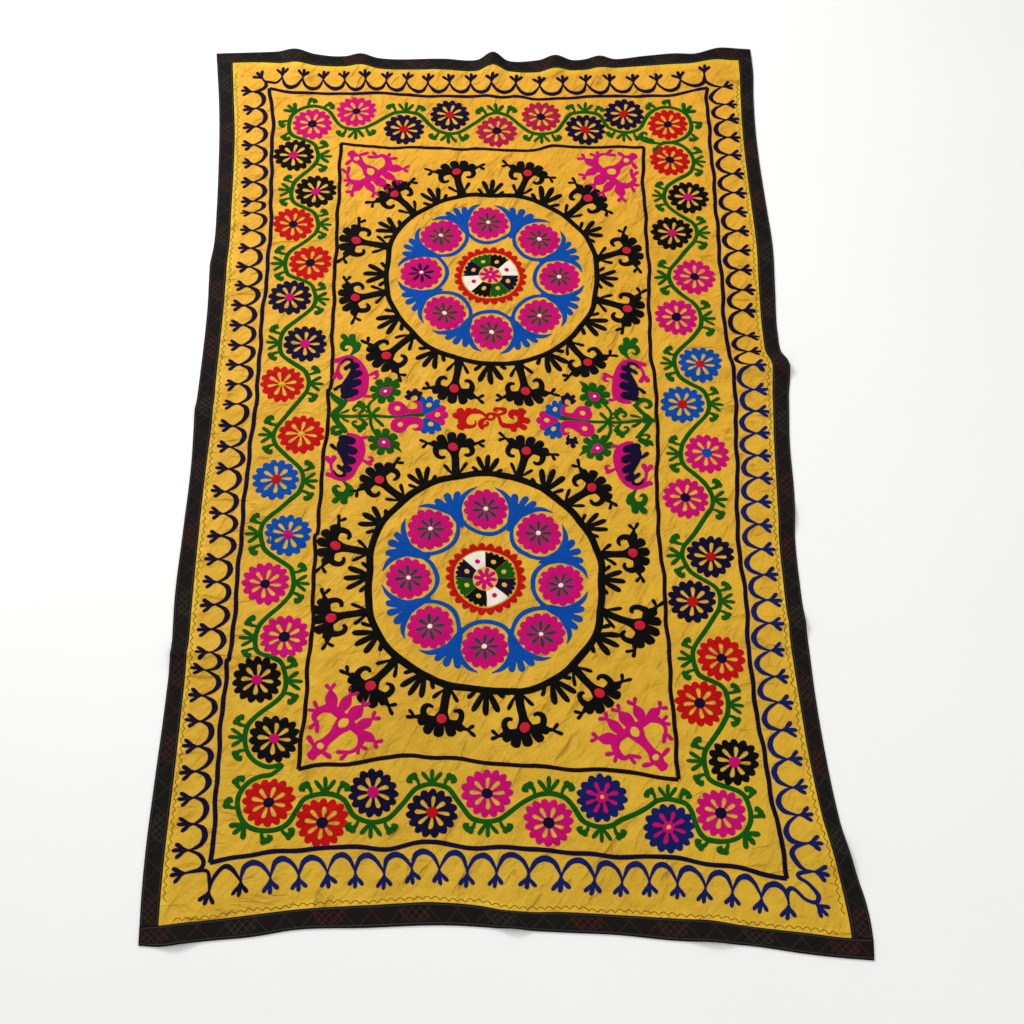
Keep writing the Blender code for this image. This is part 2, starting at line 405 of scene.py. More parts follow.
def blend(tree: NodeTree, share: Socket, first: Socket | str, second: Socket | str) -> Socket:
    """Mixes two colours, each a socket or an sRGB hex colour."""
    pair = {name: linear(c) if isinstance(c, str) else c for name, c in (("A", first), ("B", second))}
    return add_node(tree, "ShaderNodeMix", {"Factor": share, **pair}, data_type="RGBA").outputs["Result"]


def bump(
    tree: NodeTree, height: Socket, strength: float, distance: float, under: Socket | None = None
) -> Socket:
    """Adds relief, on top of another relief if one is given."""
    inputs = {"Height": height, "Strength": strength, "Distance": distance}
    if under is not None:
        inputs["Normal"] = under
    return add_node(tree, "ShaderNodeBump", inputs).outputs[0]


def stretched(tree: NodeTree, place: Socket, turn: float, stretch: float) -> Socket:
    """Turns the pattern's place by an angle in radians and draws it out along its own X."""
    inputs = {"Vector": place, "Rotation": (0, 0, turn), "Scale": (1.0, stretch, 1.0)}
    return add_node(tree, "ShaderNodeMapping", inputs, vector_type="TEXTURE").outputs[0]


class Canvas(NamedTuple):
    """A new material with its tree and its Principled shader."""

    material: bpy.types.Material
    tree: NodeTree
    shader: Node

    @classmethod
    def start(cls, name: str) -> Canvas:
        """Starts a material under a name."""
        material = bpy.data.materials.new(name)
        material.use_nodes = True
        return cls(material, material.node_tree, material.node_tree.nodes["Principled BSDF"])

    def finish(
        self, colour: Socket, roughness: float, specular: float, relief: Socket | None = None
    ) -> bpy.types.Material:
        """Connects the colour and the relief, sets the gloss and returns the material."""
        self.tree.links.new(colour, self.shader.inputs["Base Color"])
        if relief is not None:
            self.tree.links.new(relief, self.shader.inputs["Normal"])
        self.shader.inputs["Roughness"].default_value = roughness
        self.shader.inputs["Specular IOR Level"].default_value = specular
        return self.material


@dataclass(frozen=True)
class ThreadFinish:
    """Lustrous cotton thread in chain stitch: rows of looped stitches with a silky, streaky light painted
    into the colour, with painted shade in the grooves between rows and loops, and uneven dye.

    The stitch rows are drawn about twice as coarse as the real 2 mm ones, so that they show.
    """

    name: str
    colour: str
    shade: str
    slot: str
    row: float = 0.0036
    stitch: float = 0.0060
    lean: float = 1.6  # how far a loop's sides trail its middle, in radians
    relief: float = 0.55
    relief_height: float = 0.0006
    roughness: float = 0.62
    specular: float = 0.04

    def material(self) -> bpy.types.Material:
        """Builds the thread's material once and returns it each time."""
        made = bpy.data.materials.get(self.name)
        return made or self.build()

    def build(self) -> bpy.types.Material:
        """Builds rows of chain stitches along the piece's own UV map."""
        canvas = Canvas.start(self.name)
        tree = canvas.tree
        uv = add_node(tree, "ShaderNodeUVMap", uv_map="UVMap").outputs[0]
        parts = add_node(tree, "ShaderNodeSeparateXYZ", {0: uv}).outputs
        row_phase = maths(tree, "MULTIPLY", parts["Y"], math.pi / self.row)
        row_height = maths(tree, "ABSOLUTE", maths(tree, "SINE", row_phase))
        trail = maths(tree, "MULTIPLY", row_height, self.lean)
        loop_phase = maths(tree, "MULTIPLY_ADD", parts["X"], 2 * math.pi / self.stitch, trail)
        loop_height = maths(tree, "MULTIPLY_ADD", maths(tree, "SINE", loop_phase), 0.35, 0.65)
        stitch_height = maths(tree, "MULTIPLY", row_height, loop_height)
        place = add_node(tree, "ShaderNodeTexCoord").outputs["Object"]
        # Painted shade: the stitch height darkens the grooves between rows and loops toward the shade
        # colour; the noise added below is uneven dye
        tone = maths(tree, "MULTIPLY", stitch_height, 0.35)
        for scale, detail, weight in ((45.0, 3.0, 0.55), (7.0, 2.0, 0.35)):
            tone = maths(tree, "MULTIPLY_ADD", noise(tree, place, scale, detail), weight, tone)
        colour = blend(tree, remap(tree, tone, 0.25, 0.95), self.shade, self.colour)
        relief = bump(tree, stitch_height, self.relief, self.relief_height)
        return canvas.finish(colour, self.roughness, self.specular, relief)


class Thread(Enum):
    """The dyed threads, each named for its colour."""

    NAVY = ThreadFinish("navy_thread", "#130A34", "#09051A", "thread_dark")
    ROYAL = ThreadFinish("royal_blue_thread", "#141F66", "#0B1242", "thread_dark")
    BLACK = ThreadFinish("black_thread", "#0B0908", "#040303", "thread_dark")
    FRAME = ThreadFinish("brown_black_thread", "#180A07", "#0B0504", "thread_dark")
    BLUE = ThreadFinish("bright_blue_thread", "#054CA6", "#033A86", "thread_bright")
    PINK = ThreadFinish("magenta_thread", "#CC0A6E", "#A4065A", "thread_bright")
    CRIMSON = ThreadFinish("crimson_thread", "#AE1A44", "#8A1234", "thread_bright")
    RED = ThreadFinish("red_thread", "#C60C12", "#9A080C", "thread_bright")
    DOT_RED = ThreadFinish("soft_red_thread", "#CC2036", "#A81828", "thread_bright")
    WHITE = ThreadFinish("white_thread", "#F2E8DA", "#D8CAB4", "thread_bright")
    YELLOW = ThreadFinish("yellow_thread", "#E0B444", "#C89A30", "thread_bright")
    BROWN = ThreadFinish("brown_thread", "#7E5410", "#5E3A0C", "thread_dark")
    GREEN = ThreadFinish("green_thread", "#115A0D", "#0A3E07", "thread_green")
    STAR = ThreadFinish("dull_green_thread", "#2E4A20", "#1E3418", "thread_green")
    TEAL = ThreadFinish("teal_thread", "#1F4A42", "#12322E", "thread_green")


@dataclass(frozen=True)
class SatinFinish:
    """Golden cotton satin: a smooth face with a soft directional sheen and small pulled wrinkles, whose drag
    lines carry painted shade.
    """

    field_colour: str = "#DFA22A"
    foot_colour: str = "#D3A82A"
    shade_colour: str = "#AE7C1E"
    hem_colour: str = "#DEB22E"
    foot_reach: tuple[float, float] = (0.95, -1.05)  # Y where the paler foot tone starts and is full
    border_reach: tuple[float, float] = (0.36, 0.46)  # distance from the middle line where drags turn level
    slant: float = 1.05
    level: float = 0.10
    drag_stretch: float = 0.32
    # how far the drag lines darken toward the shade colour: painted shade in the wrinkles
    drag_shade_strength: float = 0.80
    drag_relief: float = -0.50
    wrinkle: float = 0.035
    wrinkle_height: float = 0.014
    weave: float = 0.0025  # thread spacing, drawn coarse so that it shows
    weave_height: float = 0.0004
    roughness: float = 0.48
    specular: float = 0.12

    def material(self) -> bpy.types.Material:
        """Builds the satin with its hem tone read from the piece's own attribute."""
        canvas = Canvas.start("golden_cotton_satin")
        tree = canvas.tree
        place = add_node(tree, "ShaderNodeTexCoord").outputs["Object"]
        parts = add_node(tree, "ShaderNodeSeparateXYZ", {0: place}).outputs
        hem = add_node(tree, "ShaderNodeAttribute", attribute_name="hem").outputs["Fac"]
        foot = remap(tree, parts["Y"], *self.foot_reach)
        base = blend(tree, hem, blend(tree, foot, self.field_colour, self.foot_colour), self.hem_colour)
        drags = self.all_drags(tree, place, parts["X"])
        large, small = noise(tree, place, 3.0, 4.0), noise(tree, place, 26.0, 4.0)
        mottle = maths(tree, "MULTIPLY_ADD", small, 0.45, maths(tree, "MULTIPLY", large, 0.55))
        dull = remap(tree, mottle, 0.56, 0.36, 0.0, 0.36)
        # Painted shade: the drag lines darken toward the shade colour as well as shaping the bump; the
        # mottle beside them is random tone
        shade = maths(tree, "MAXIMUM", dull, maths(tree, "MULTIPLY", drags, self.drag_shade_strength))
        wrinkles = noise(
            tree, stretched(tree, place, 1.0, 0.55), 0.6 / self.wrinkle, 4.0, roughness=0.5, distortion=0.6
        )
        coarse = maths(tree, "MULTIPLY_ADD", drags, self.drag_relief, wrinkles)
        relief = bump(tree, coarse, 0.9, self.wrinkle_height)
        weave = add_node(
            tree,
            "ShaderNodeTexWave",
            {"Vector": place, "Scale": 0.314 / self.weave, "Distortion": 1.5, "Detail": 1.0},
            bands_direction="DIAGONAL",
        )
        relief = bump(tree, weave.outputs["Fac"], 0.08, self.weave_height, under=relief)
        return canvas.finish(
            blend(tree, shade, base, self.shade_colour), self.roughness, self.specular, relief
        )

    def all_drags(self, tree: NodeTree, place: Socket, from_side: Socket) -> Socket:
        """Marks slanted drag lines in the field and more level ones in the borders."""
        aside = maths(tree, "ABSOLUTE", from_side)
        border = remap(tree, aside, *self.border_reach, 0.30, 0.85)
        inside = maths(tree, "SUBTRACT", 1.25, border)
        slanted = maths(tree, "MULTIPLY", self.drags(tree, place, self.slant, 11.0), inside)
        level = maths(tree, "MULTIPLY", self.drags(tree, place, self.level, 10.0), border)
        return maths(tree, "MAXIMUM", slanted, level)

    def drags(self, tree: NodeTree, place: Socket, turn: float, scale: float) -> Socket:
        """Marks short uneven drag lines that run at an angle to the weft, 0 to 1."""
        mapped = stretched(tree, place, turn, self.drag_stretch)
        return remap(tree, noise(tree, mapped, scale, 3.0, roughness=0.5, distortion=0.9), 0.57, 0.76)


@dataclass(frozen=True)
class TapeFinish:
    """Charcoal jacquard-woven tape: dull edge lines, with groups of small crosses and wide zigzags."""

    lattice_pitch: float = 0.0150
    zigzag_pitch: float = 0.055
    group_pitch: float = 0.165
    group_share: float = 0.34
    width: float = 0.038
    line: float = 0.0010
    rib: float = 0.0026
    rib_height: float = 0.0004
    edge_place: float = 0.40  # shares of the tape's width from its middle
    edge_reach: float = 0.022
    fine_reach: float = 0.30
    wide_reach: float = 0.36
    wide_strength: float = 0.8
    dark: str = "#0C0A0A"
    worn: str = "#1C1716"
    edge_colour: str = "#3E3D38"
    brown: str = "#4A2A20"
    olive: str = "#3C3626"
    red: str = "#54221C"
    roughness: float = 0.82
    specular: float = 0.08

    def material(self) -> bpy.types.Material:
        """Builds the tape's weave along its own UV map, whose Y is 0 to 1 across the tape."""
        canvas = Canvas.start("charcoal_woven_tape")
        tree = canvas.tree
        uv = add_node(tree, "ShaderNodeUVMap", uv_map="UVMap").outputs[0]
        parts = add_node(tree, "ShaderNodeSeparateXYZ", {0: uv}).outputs
        along, across = parts["X"], parts["Y"]
        centred = maths(tree, "ABSOLUTE", maths(tree, "SUBTRACT", across, 0.5))
        from_line = maths(tree, "ABSOLUTE", maths(tree, "SUBTRACT", centred, self.edge_place))
        ground = blend(tree, noise(tree, uv, 60.0, 3.0), self.dark, self.worn)
        patterned = blend(tree, self.lattice(tree, along, across, centred), ground, self.tints(tree, along))
        colour = blend(tree, self.mask(tree, from_line, self.edge_reach), patterned, self.edge_colour)
        ribs = maths(tree, "SINE", maths(tree, "MULTIPLY", along, 2 * math.pi / self.rib))
        return canvas.finish(colour, self.roughness, self.specular, bump(tree, ribs, 0.35, self.rib_height))

    def tints(self, tree: NodeTree, along: Socket) -> Socket:
        """Changes the lattice's colour from one stretch of the tape to the next."""
        place = maths(tree, "FRACT", maths(tree, "DIVIDE", along, self.group_pitch * 3.0))
        ramp = add_node(tree, "ShaderNodeValToRGB", {"Fac": place})
        ramp.color_ramp.interpolation = "CONSTANT"
        stops = ramp.color_ramp.elements
        stops[0].color = linear(self.brown)
        stops[1].position = 0.30
        stops[1].color = linear(self.olive)
        stops.new(0.66).color = linear(self.red)
        return ramp.outputs[0]

    def lattice(self, tree: NodeTree, along: Socket, across: Socket, centred: Socket) -> Socket:
        """Marks wide zigzags all along and small crosses in groups."""
        rise = maths(tree, "MULTIPLY", across, self.width)
        group = maths(tree, "FRACT", maths(tree, "DIVIDE", along, self.group_pitch))
        in_group = maths(tree, "LESS_THAN", group, self.group_share)
        fine = maths(tree, "MULTIPLY", self.crossing(tree, along, rise, self.lattice_pitch), in_group)
        fine = maths(tree, "MULTIPLY", fine, maths(tree, "LESS_THAN", centred, self.fine_reach))
        wide = self.crossing(tree, along, rise, self.zigzag_pitch)
        wide = maths(tree, "MULTIPLY", wide, self.wide_strength)
        wide = maths(tree, "MULTIPLY", wide, maths(tree, "LESS_THAN", centred, self.wide_reach))
        return maths(tree, "MAXIMUM", fine, wide)

    def crossing(self, tree: NodeTree, along: Socket, rise: Socket, pitch: float) -> Socket:
        """Marks two sets of slanting lines that cross, both at one pitch along the tape."""
        found = []
        for slant in ("ADD", "SUBTRACT"):
            phase = maths(tree, "FRACT", maths(tree, "DIVIDE", maths(tree, slant, along, rise), pitch))
            centred = maths(tree, "ABSOLUTE", maths(tree, "SUBTRACT", phase, 0.5))
            found.append(self.mask(tree, maths(tree, "MULTIPLY", centred, pitch), self.line))
        return maths(tree, "MAXIMUM", *found)

    @staticmethod
    def mask(tree: NodeTree, distance: Socket, reach: float) -> Socket:
        """Marks where a distance is under its reach, with a soft edge."""
        return remap(tree, distance, reach, reach * 0.5, 0.0, 0.85)


# Drawing in thread


def mm_widths(*widths: float) -> list[float]:
    """Turns widths in millimetres into metres."""
    return [width * MM for width in widths]


def mm_path(*points: tuple[float, float]) -> list[tuple[float, float]]:
    """Turns points in millimetres into metres."""
    return [(x * MM, y * MM) for x, y in points]


class Patch(NamedTuple):
    """One worked area: a grid of plan points with their height over the cloth and their stitch UVs."""

    points: np.ndarray  # rows, columns, (x, y)
    lift: np.ndarray  # rows, columns
    uv: np.ndarray  # rows, columns, (along the stitches, across them)


def smooth_path(
    points: Sequence[Sequence[float]], spacing: float, closed: bool = False
) -> tuple[np.ndarray, np.ndarray]:
    """Runs a smooth curve through given points.

    Args:
        points: The points that it passes.
        spacing: Distance between the curve's own points.
        closed: Whether it returns to its first point.

    Returns:
        The curve's points, and where each lies among the given points, counted from 0.
    """
    knots = np.asarray(points, dtype=float)
    if closed:
        padded = np.vstack([knots[-1], knots, knots[0], knots[1]])
    else:
        padded = np.vstack([2 * knots[0] - knots[1], knots, 2 * knots[-1] - knots[-2]])
    fine, where = [], []
    for i in range(len(padded) - 3):
        p0, p1, p2, p3 = padded[i : i + 4]
        t = np.linspace(0, 1, 16, endpoint=False)[:, None]
        square, cube = 2 * p0 - 5 * p1 + 4 * p2 - p3, 3 * p1 - p0 - 3 * p2 + p3
        fine.append(0.5 * (2 * p1 + (p2 - p0) * t + square * t**2 + cube * t**3))
        where.append(i + t[:, 0])
    fine.append(padded[-2][None])
    where.append(np.array([float(len(padded) - 3)]))
    line, place = np.vstack(fine), np.concatenate(where)
    run = np.concatenate([[0], np.cumsum(np.linalg.norm(np.diff(line, axis=0), axis=1))])
    count = max(int(round(run[-1] / spacing)), 4)
    at = np.linspace(0, run[-1], count + 1)
    even = np.column_stack([np.interp(at, run, line[:, 0]), np.interp(at, run, line[:, 1])])
    return even, np.interp(at, run, place)


@dataclass
class Needlework:
    """Collects worked areas of one thread and makes them one mesh."""

    patches: list[Patch] = field(default_factory=list)

    THINNEST = 0.0006
    FULL_CROWN = 0.003  # half width from which a band has its whole crown
    # Places across a band, as shares of its half width
    CROWN = np.array([-1.0, -0.62, 0.0, 0.62, 1.0])
    # Shares of a club's length and of its width
    CLUB = ((0, 0.50), (0.3, 0.80), (0.62, 1.0), (0.84, 0.94), (0.95, 0.64), (1.0, 0.14))

    def stroke(
        self,
        points: Sequence[Sequence[float]],
        widths: Sequence[float],
        lift: float = 0.0007,
        crown: float = 0.0008,
        spacing: float = 0.004,
        closed: bool = False,
    ) -> Needlework:
        """Works a band of stitches along a curve.

        Args:
            points: Points that the band's middle passes, in metres.
            widths: The band's width at each point, or one width.
            lift: Height of its edges over the cloth.
            crown: How much higher its middle is.
            spacing: Distance between its rows.
            closed: Whether it is a ring.

        Returns:
            This piece of needlework, so that calls can be chained.
        """
        line, place = smooth_path(points, spacing, closed)
        given = np.full(len(points), widths[0]) if len(widths) == 1 else np.asarray(widths, dtype=float)
        if closed:
            given = np.append(given, given[0])
        width = smooth_through(np.arange(len(given), dtype=float), given, place)
        ahead = np.gradient(line, axis=0)
        if closed:
            ahead[0] = ahead[-1] = line[1] - line[-2]
        ahead /= np.maximum(np.linalg.norm(ahead, axis=1, keepdims=True), 1e-9)
        left = np.column_stack([-ahead[:, 1], ahead[:, 0]])
        half = np.maximum(width, self.THINNEST)[:, None] / 2
        offset = half * self.CROWN[None, :]
        grid = line[:, None, :] + left[:, None, :] * offset[:, :, None]
        height = lift + crown * np.minimum(half / self.FULL_CROWN, 1.0) * (1 - self.CROWN**2)[None, :]
        run = np.concatenate([[0], np.cumsum(np.linalg.norm(np.diff(line, axis=0), axis=1))])
        uv = np.stack([np.repeat(run[:, None], len(self.CROWN), axis=1), offset], axis=2)
        self.patches.append(Patch(grid, height, uv))
        return self

    def strand(self, points: Points, widths: Sequence[float], step: float = 3.0, **how: float) -> Needlework:
        """Works a band whose points, widths and row spacing are in millimetres."""
        return self.stroke(mm_path(*points), mm_widths(*widths), spacing=step * MM, **how)

    def club(self, x: float, y: float, tip_x: float, tip_y: float, width: float, **how: float) -> Needlework:
        """Works a finger or petal that widens to a rounded end, between two points in millimetres.

        Args:
            x: Place of its root.
            y: Place of its root.
            tip_x: Place of its tip.
            tip_y: Place of its tip.
            width: Its greatest width.
            how: Lift and crown of the stroke.

        Returns:
            This piece of needlework.
        """
        root, tip = np.array([x, y]) * MM, np.array([tip_x, tip_y]) * MM
        points = [root + (tip - root) * share for share, _ in self.CLUB]
        widths = [width * MM * share for _, share in self.CLUB]
        return self.stroke(points, widths, spacing=0.0025, **how)

    def clubs(self, *rows: tuple[float, float, float, float, float], **how: float) -> Needlework:
        """Works several clubs, each given by its root, its tip and its width in millimetres."""
        for row in rows:
            self.club(*row, **how)
        return self

    def disc(
        self,
        x: float,
        y: float,
        radius: float,
        inner: float = 0.0,
        lobes: int = 0,
        depth: float = 0.0,
        span: tuple[float, float] = (0.0, 360.0),
        lift: float = 0.0009,
        crown: float = 0.0007,
        cells: int = 24,
    ) -> Needlework:
        """Works a round, ring or sector whose outer edge may be scalloped.

        Args:
            x: Its centre.
            y: Its centre.
            radius: Its outer radius.
            inner: Its inner radius, 0 for a full round.
            lobes: Scallops in a whole turn, 0 for a plain edge.
            depth: How deep the notches between scallops are, as a share of the radius.
            span: First and last angle in degrees, anticlockwise from +X.
            lift: Height of its edge over the cloth.
            crown: How much higher its middle is.
            cells: Steps round it.

        Returns:
            This piece of needlework.
        """
        turn = np.radians(np.linspace(span[0], span[1], cells + 1))
        notches = 1 - np.abs(np.cos(turn * lobes / 2)) ** 0.8 if lobes else np.zeros(cells + 1)
        outer = radius * (1 - depth * notches)
        start = max(inner, radius * 0.04)
        rows = max(3, round((radius - start) / 0.006))
        share = np.append(np.linspace(0.0, 0.84, rows), [0.94, 1.0])[:, None]
        reach = start + share * (outer[None, :] - start)
        points = np.stack([x + reach * np.cos(turn), y + reach * np.sin(turn)], axis=2)
        ring = np.append(np.ones(rows), [0.55, 0.0])[:, None]
        ring[0] = 0.0 if inner else 1.0
        height = np.repeat(lift + crown * ring, cells + 1, axis=1)
        uv = np.stack([np.repeat(turn[None, :], rows + 2, axis=0) * radius * 0.6, reach], axis=2)
        self.patches.append(Patch(points, height, uv))
        if not inner:
            self.cap(x, y, start, turn, lift + crown)
        return self

    def cap(self, x: float, y: float, radius: float, turn: np.ndarray, height: float) -> None:
        """Closes the middle of a full round."""
        points = np.zeros((2, len(turn), 2))
        points[0] = (x, y)
        points[1, :, 0], points[1, :, 1] = x + radius * np.cos(turn), y + radius * np.sin(turn)
        self.patches.append(Patch(points, np.full((2, len(turn)), height), points.copy()))

    def bloom(self, x: float, y: float, radius: float, lobes: int = 15, depth: float = 0.19) -> Needlework:
        """Works a round bloom of eight sectors, with a teardrop of bare cloth between each two.

        Args:
            x: Its centre.
            y: Its centre.
            radius: Its outer radius.
            lobes: Rounded petal ends in a whole turn.
            depth: Depth of the notches between them, as a share of the radius.

        Returns:
            This piece of needlework.
        """
        shares = np.array([0.16, 0.24, 0.34, 0.45, 0.56, 0.63, 0.68, 0.80, 0.91, 1.0])
        slit = np.array([0.022, 0.040, 0.060, 0.082, 0.092, 0.076, 0.0, 0.0, 0.0, 0.0]) * radius
        rise = np.array([0.8, 0.8, 0.85, 0.9, 0.95, 1.0, 1.0, 1.0, 0.6, 0.0])
        across = np.linspace(-1, 1, 19)
        for sector in range(8):
            middle = math.radians(45 * sector)
            uneven = 1 + 0.22 * math.sin(sector * 2.4)
            edge = math.pi / 8 - slit * uneven / (shares * radius)
            angle = middle + edge[:, None] * across[None, :]
            notch = 1 - depth * (1 - np.abs(np.cos(angle * lobes / 2)) ** 0.8)
            notch *= 1 + 0.018 * np.sin(3 * angle + 0.5)
            pull = np.clip((shares[:, None] - 0.68) / 0.32, 0, 1)
            reach = radius * shares[:, None] * (1 - pull * (1 - notch))
            points = np.stack([x + reach * np.cos(angle), y + reach * np.sin(angle)], axis=2)
            height = 0.0006 + 0.0008 * rise[:, None] * (1 - 0.35 * np.abs(across[None, :]) ** 4)
            uv = np.stack([reach, (angle - middle) * radius * 0.6], axis=2)
            self.patches.append(Patch(points, height, uv))
        return self

    def placed(
        self, x: float, y: float, turn: float = 0.0, mirror_x: bool = False, mirror_y: bool = False
    ) -> Needlework:
        """Copies the work, mirrored, turned by degrees and moved."""
        c, s = math.cos(math.radians(turn)), math.sin(math.radians(turn))
        flip = np.array([-1.0 if mirror_x else 1.0, -1.0 if mirror_y else 1.0])
        copied = []
        for patch in self.patches:
            points = patch.points * flip
            px, py = points[..., 0], points[..., 1]
            moved = np.stack([x + px * c - py * s, y + px * s + py * c], axis=2)
            step = -1 if mirror_x != mirror_y else 1
            copied.append(Patch(moved[:, ::step], patch.lift[:, ::step], patch.uv[:, ::step]))
        return Needlework(copied)

    def shifted(self, stations: Sequence[float], shifts: Sequence[float]) -> Needlework:
        """Copies the work with each X moved by a shift read between stations, in metres."""
        moved = []
        for patch in self.patches:
            points = patch.points.copy()
            points[..., 0] += np.interp(points[..., 0], stations, shifts)
            moved.append(Patch(points, patch.lift, patch.uv))
        return Needlework(moved)

    def add(self, *others: Needlework) -> Needlework:
        """Takes in other work of the same thread."""
        for other in others:
            self.patches.extend(other.patches)
        return self

    def mesh(self, name: str) -> bpy.types.Mesh:
        """Makes one flat mesh of all the work, with plan X and Y and the lift as Z."""
        vertices, faces, uvs, start = [], [], [], 0
        for patch in self.patches:
            rows, columns = patch.lift.shape
            vertices.append(np.concatenate([patch.points, patch.lift[..., None]], axis=2).reshape(-1, 3))
            uvs.append(patch.uv.reshape(-1, 2))
            index = np.arange(rows * columns).reshape(rows, columns) + start
            quads = np.stack([index[:-1, :-1], index[1:, :-1], index[1:, 1:], index[:-1, 1:]], axis=2)
            faces.append(quads.reshape(-1, 4))
            start += rows * columns
        return build_mesh(name, np.vstack(vertices), np.vstack(faces), np.vstack(uvs))


def build_mesh(name: str, vertices: np.ndarray, faces: np.ndarray, uvs: np.ndarray) -> bpy.types.Mesh:
    """Makes a smooth-shaded mesh of quads with a UV map.

    Args:
        name: The mesh's name.
        vertices: One row of X, Y and Z each.
        faces: Four vertex numbers each.
        uvs: One row for each vertex.

    Returns:
        The new mesh.
    """
    mesh = bpy.data.meshes.new(name)
    mesh.from_pydata(vertices.tolist(), [], faces.tolist())
    layer = mesh.uv_layers.new(name="UVMap")
    layer.data.foreach_set("uv", uvs[faces.ravel()].ravel())
    mesh.shade_smooth()
    return mesh


def link(name: str, mesh: bpy.types.Mesh) -> bpy.types.Object:
    """Makes an object of a mesh and puts it in the scene."""
    made = bpy.data.objects.new(name, mesh)
    bpy.context.scene.collection.objects.link(made)
    return made


class Spot(NamedTuple):
    """Where one copy of a motif is worked, in the plan."""

    x: float
    y: float
    turn: float = 0.0  # degrees, anticlockwise
    along: float = 1.0  # stretch of the motif's X
    out: float = 1.0  # stretch of its Y


class MotifTree:
    """Geometry Nodes that work one motif at many spots with a slight hand tremor."""

    NAME = "work_motif_at_spots"

    @classmethod
    def tree(cls) -> NodeTree:
        """Builds the tree once and returns it each time."""
        made = bpy.data.node_groups.get(cls.NAME)
        return made or cls.build()

    @classmethod
    def build(cls) -> NodeTree:
        """Builds the tree with named inputs for the motif, the thread and the tremor."""
        tree = bpy.data.node_groups.new(cls.NAME, "GeometryNodeTree")
        tree.interface.new_socket("Geometry", in_out="INPUT", socket_type="NodeSocketGeometry")
        for name, kind in (
            ("Motif", "NodeSocketObject"),
            ("Thread", "NodeSocketMaterial"),
            ("Turn Tremor", "NodeSocketFloat"),
            ("Size Tremor", "NodeSocketFloat"),
            ("Seed", "NodeSocketInt"),
        ):
            tree.interface.new_socket(name, in_out="INPUT", socket_type=kind)
        tree.interface.new_socket("Geometry", in_out="OUTPUT", socket_type="NodeSocketGeometry")
        given = add_node(tree, "NodeGroupInput").outputs
        turn = cls.attribute(tree, "turn")
        stretch = [cls.attribute(tree, name) for name in ("along", "out")]
        twist = cls.tremor(tree, given["Turn Tremor"], given["Seed"])
        swell = cls.tremor(tree, given["Size Tremor"], given["Seed"])
        turned = maths(tree, "ADD", turn, twist)
        size = maths(tree, "ADD", swell, 1.0)
        euler = add_node(tree, "ShaderNodeCombineXYZ", {"Z": turned}).outputs[0]
        rotation = add_node(tree, "FunctionNodeEulerToRotation", {0: euler}).outputs[0]
        scale = add_node(
            tree,
            "ShaderNodeCombineXYZ",
            {
                "X": maths(tree, "MULTIPLY", stretch[0], size),
                "Y": maths(tree, "MULTIPLY", stretch[1], size),
                "Z": 1.0,
            },
        ).outputs[0]
        points = add_node(tree, "GeometryNodeMeshToPoints", {"Mesh": given["Geometry"]}).outputs[0]
        motif = add_node(tree, "GeometryNodeObjectInfo", {"Object": given["Motif"]}).outputs["Geometry"]
        copies = add_node(
            tree,
            "GeometryNodeInstanceOnPoints",
            {"Points": points, "Instance": motif, "Rotation": rotation, "Scale": scale},
        ).outputs[0]
        real = add_node(tree, "GeometryNodeRealizeInstances", {0: copies}).outputs[0]
        dressed = add_node(
            tree, "GeometryNodeSetMaterial", {"Geometry": real, "Material": given["Thread"]}
        ).outputs[0]
        add_node(tree, "NodeGroupOutput", {0: dressed})
        return tree

    @staticmethod
    def attribute(tree: NodeTree, name: str) -> Socket:
        """Reads one number that each spot carries."""
        return add_node(
            tree, "GeometryNodeInputNamedAttribute", {"Name": name}, data_type="FLOAT"
        ).outputs[0]

    @staticmethod
    def tremor(tree: NodeTree, reach: Socket, seed: Socket) -> Socket:
        """Gives each spot a random number between minus and plus its reach."""
        low = maths(tree, "MULTIPLY", reach, -1.0)
        node = add_node(tree, "FunctionNodeRandomValue", {"Seed": seed}, data_type="FLOAT")
        tree.links.new(low, node.inputs[2])
        tree.links.new(reach, node.inputs[3])
        return node.outputs[1]


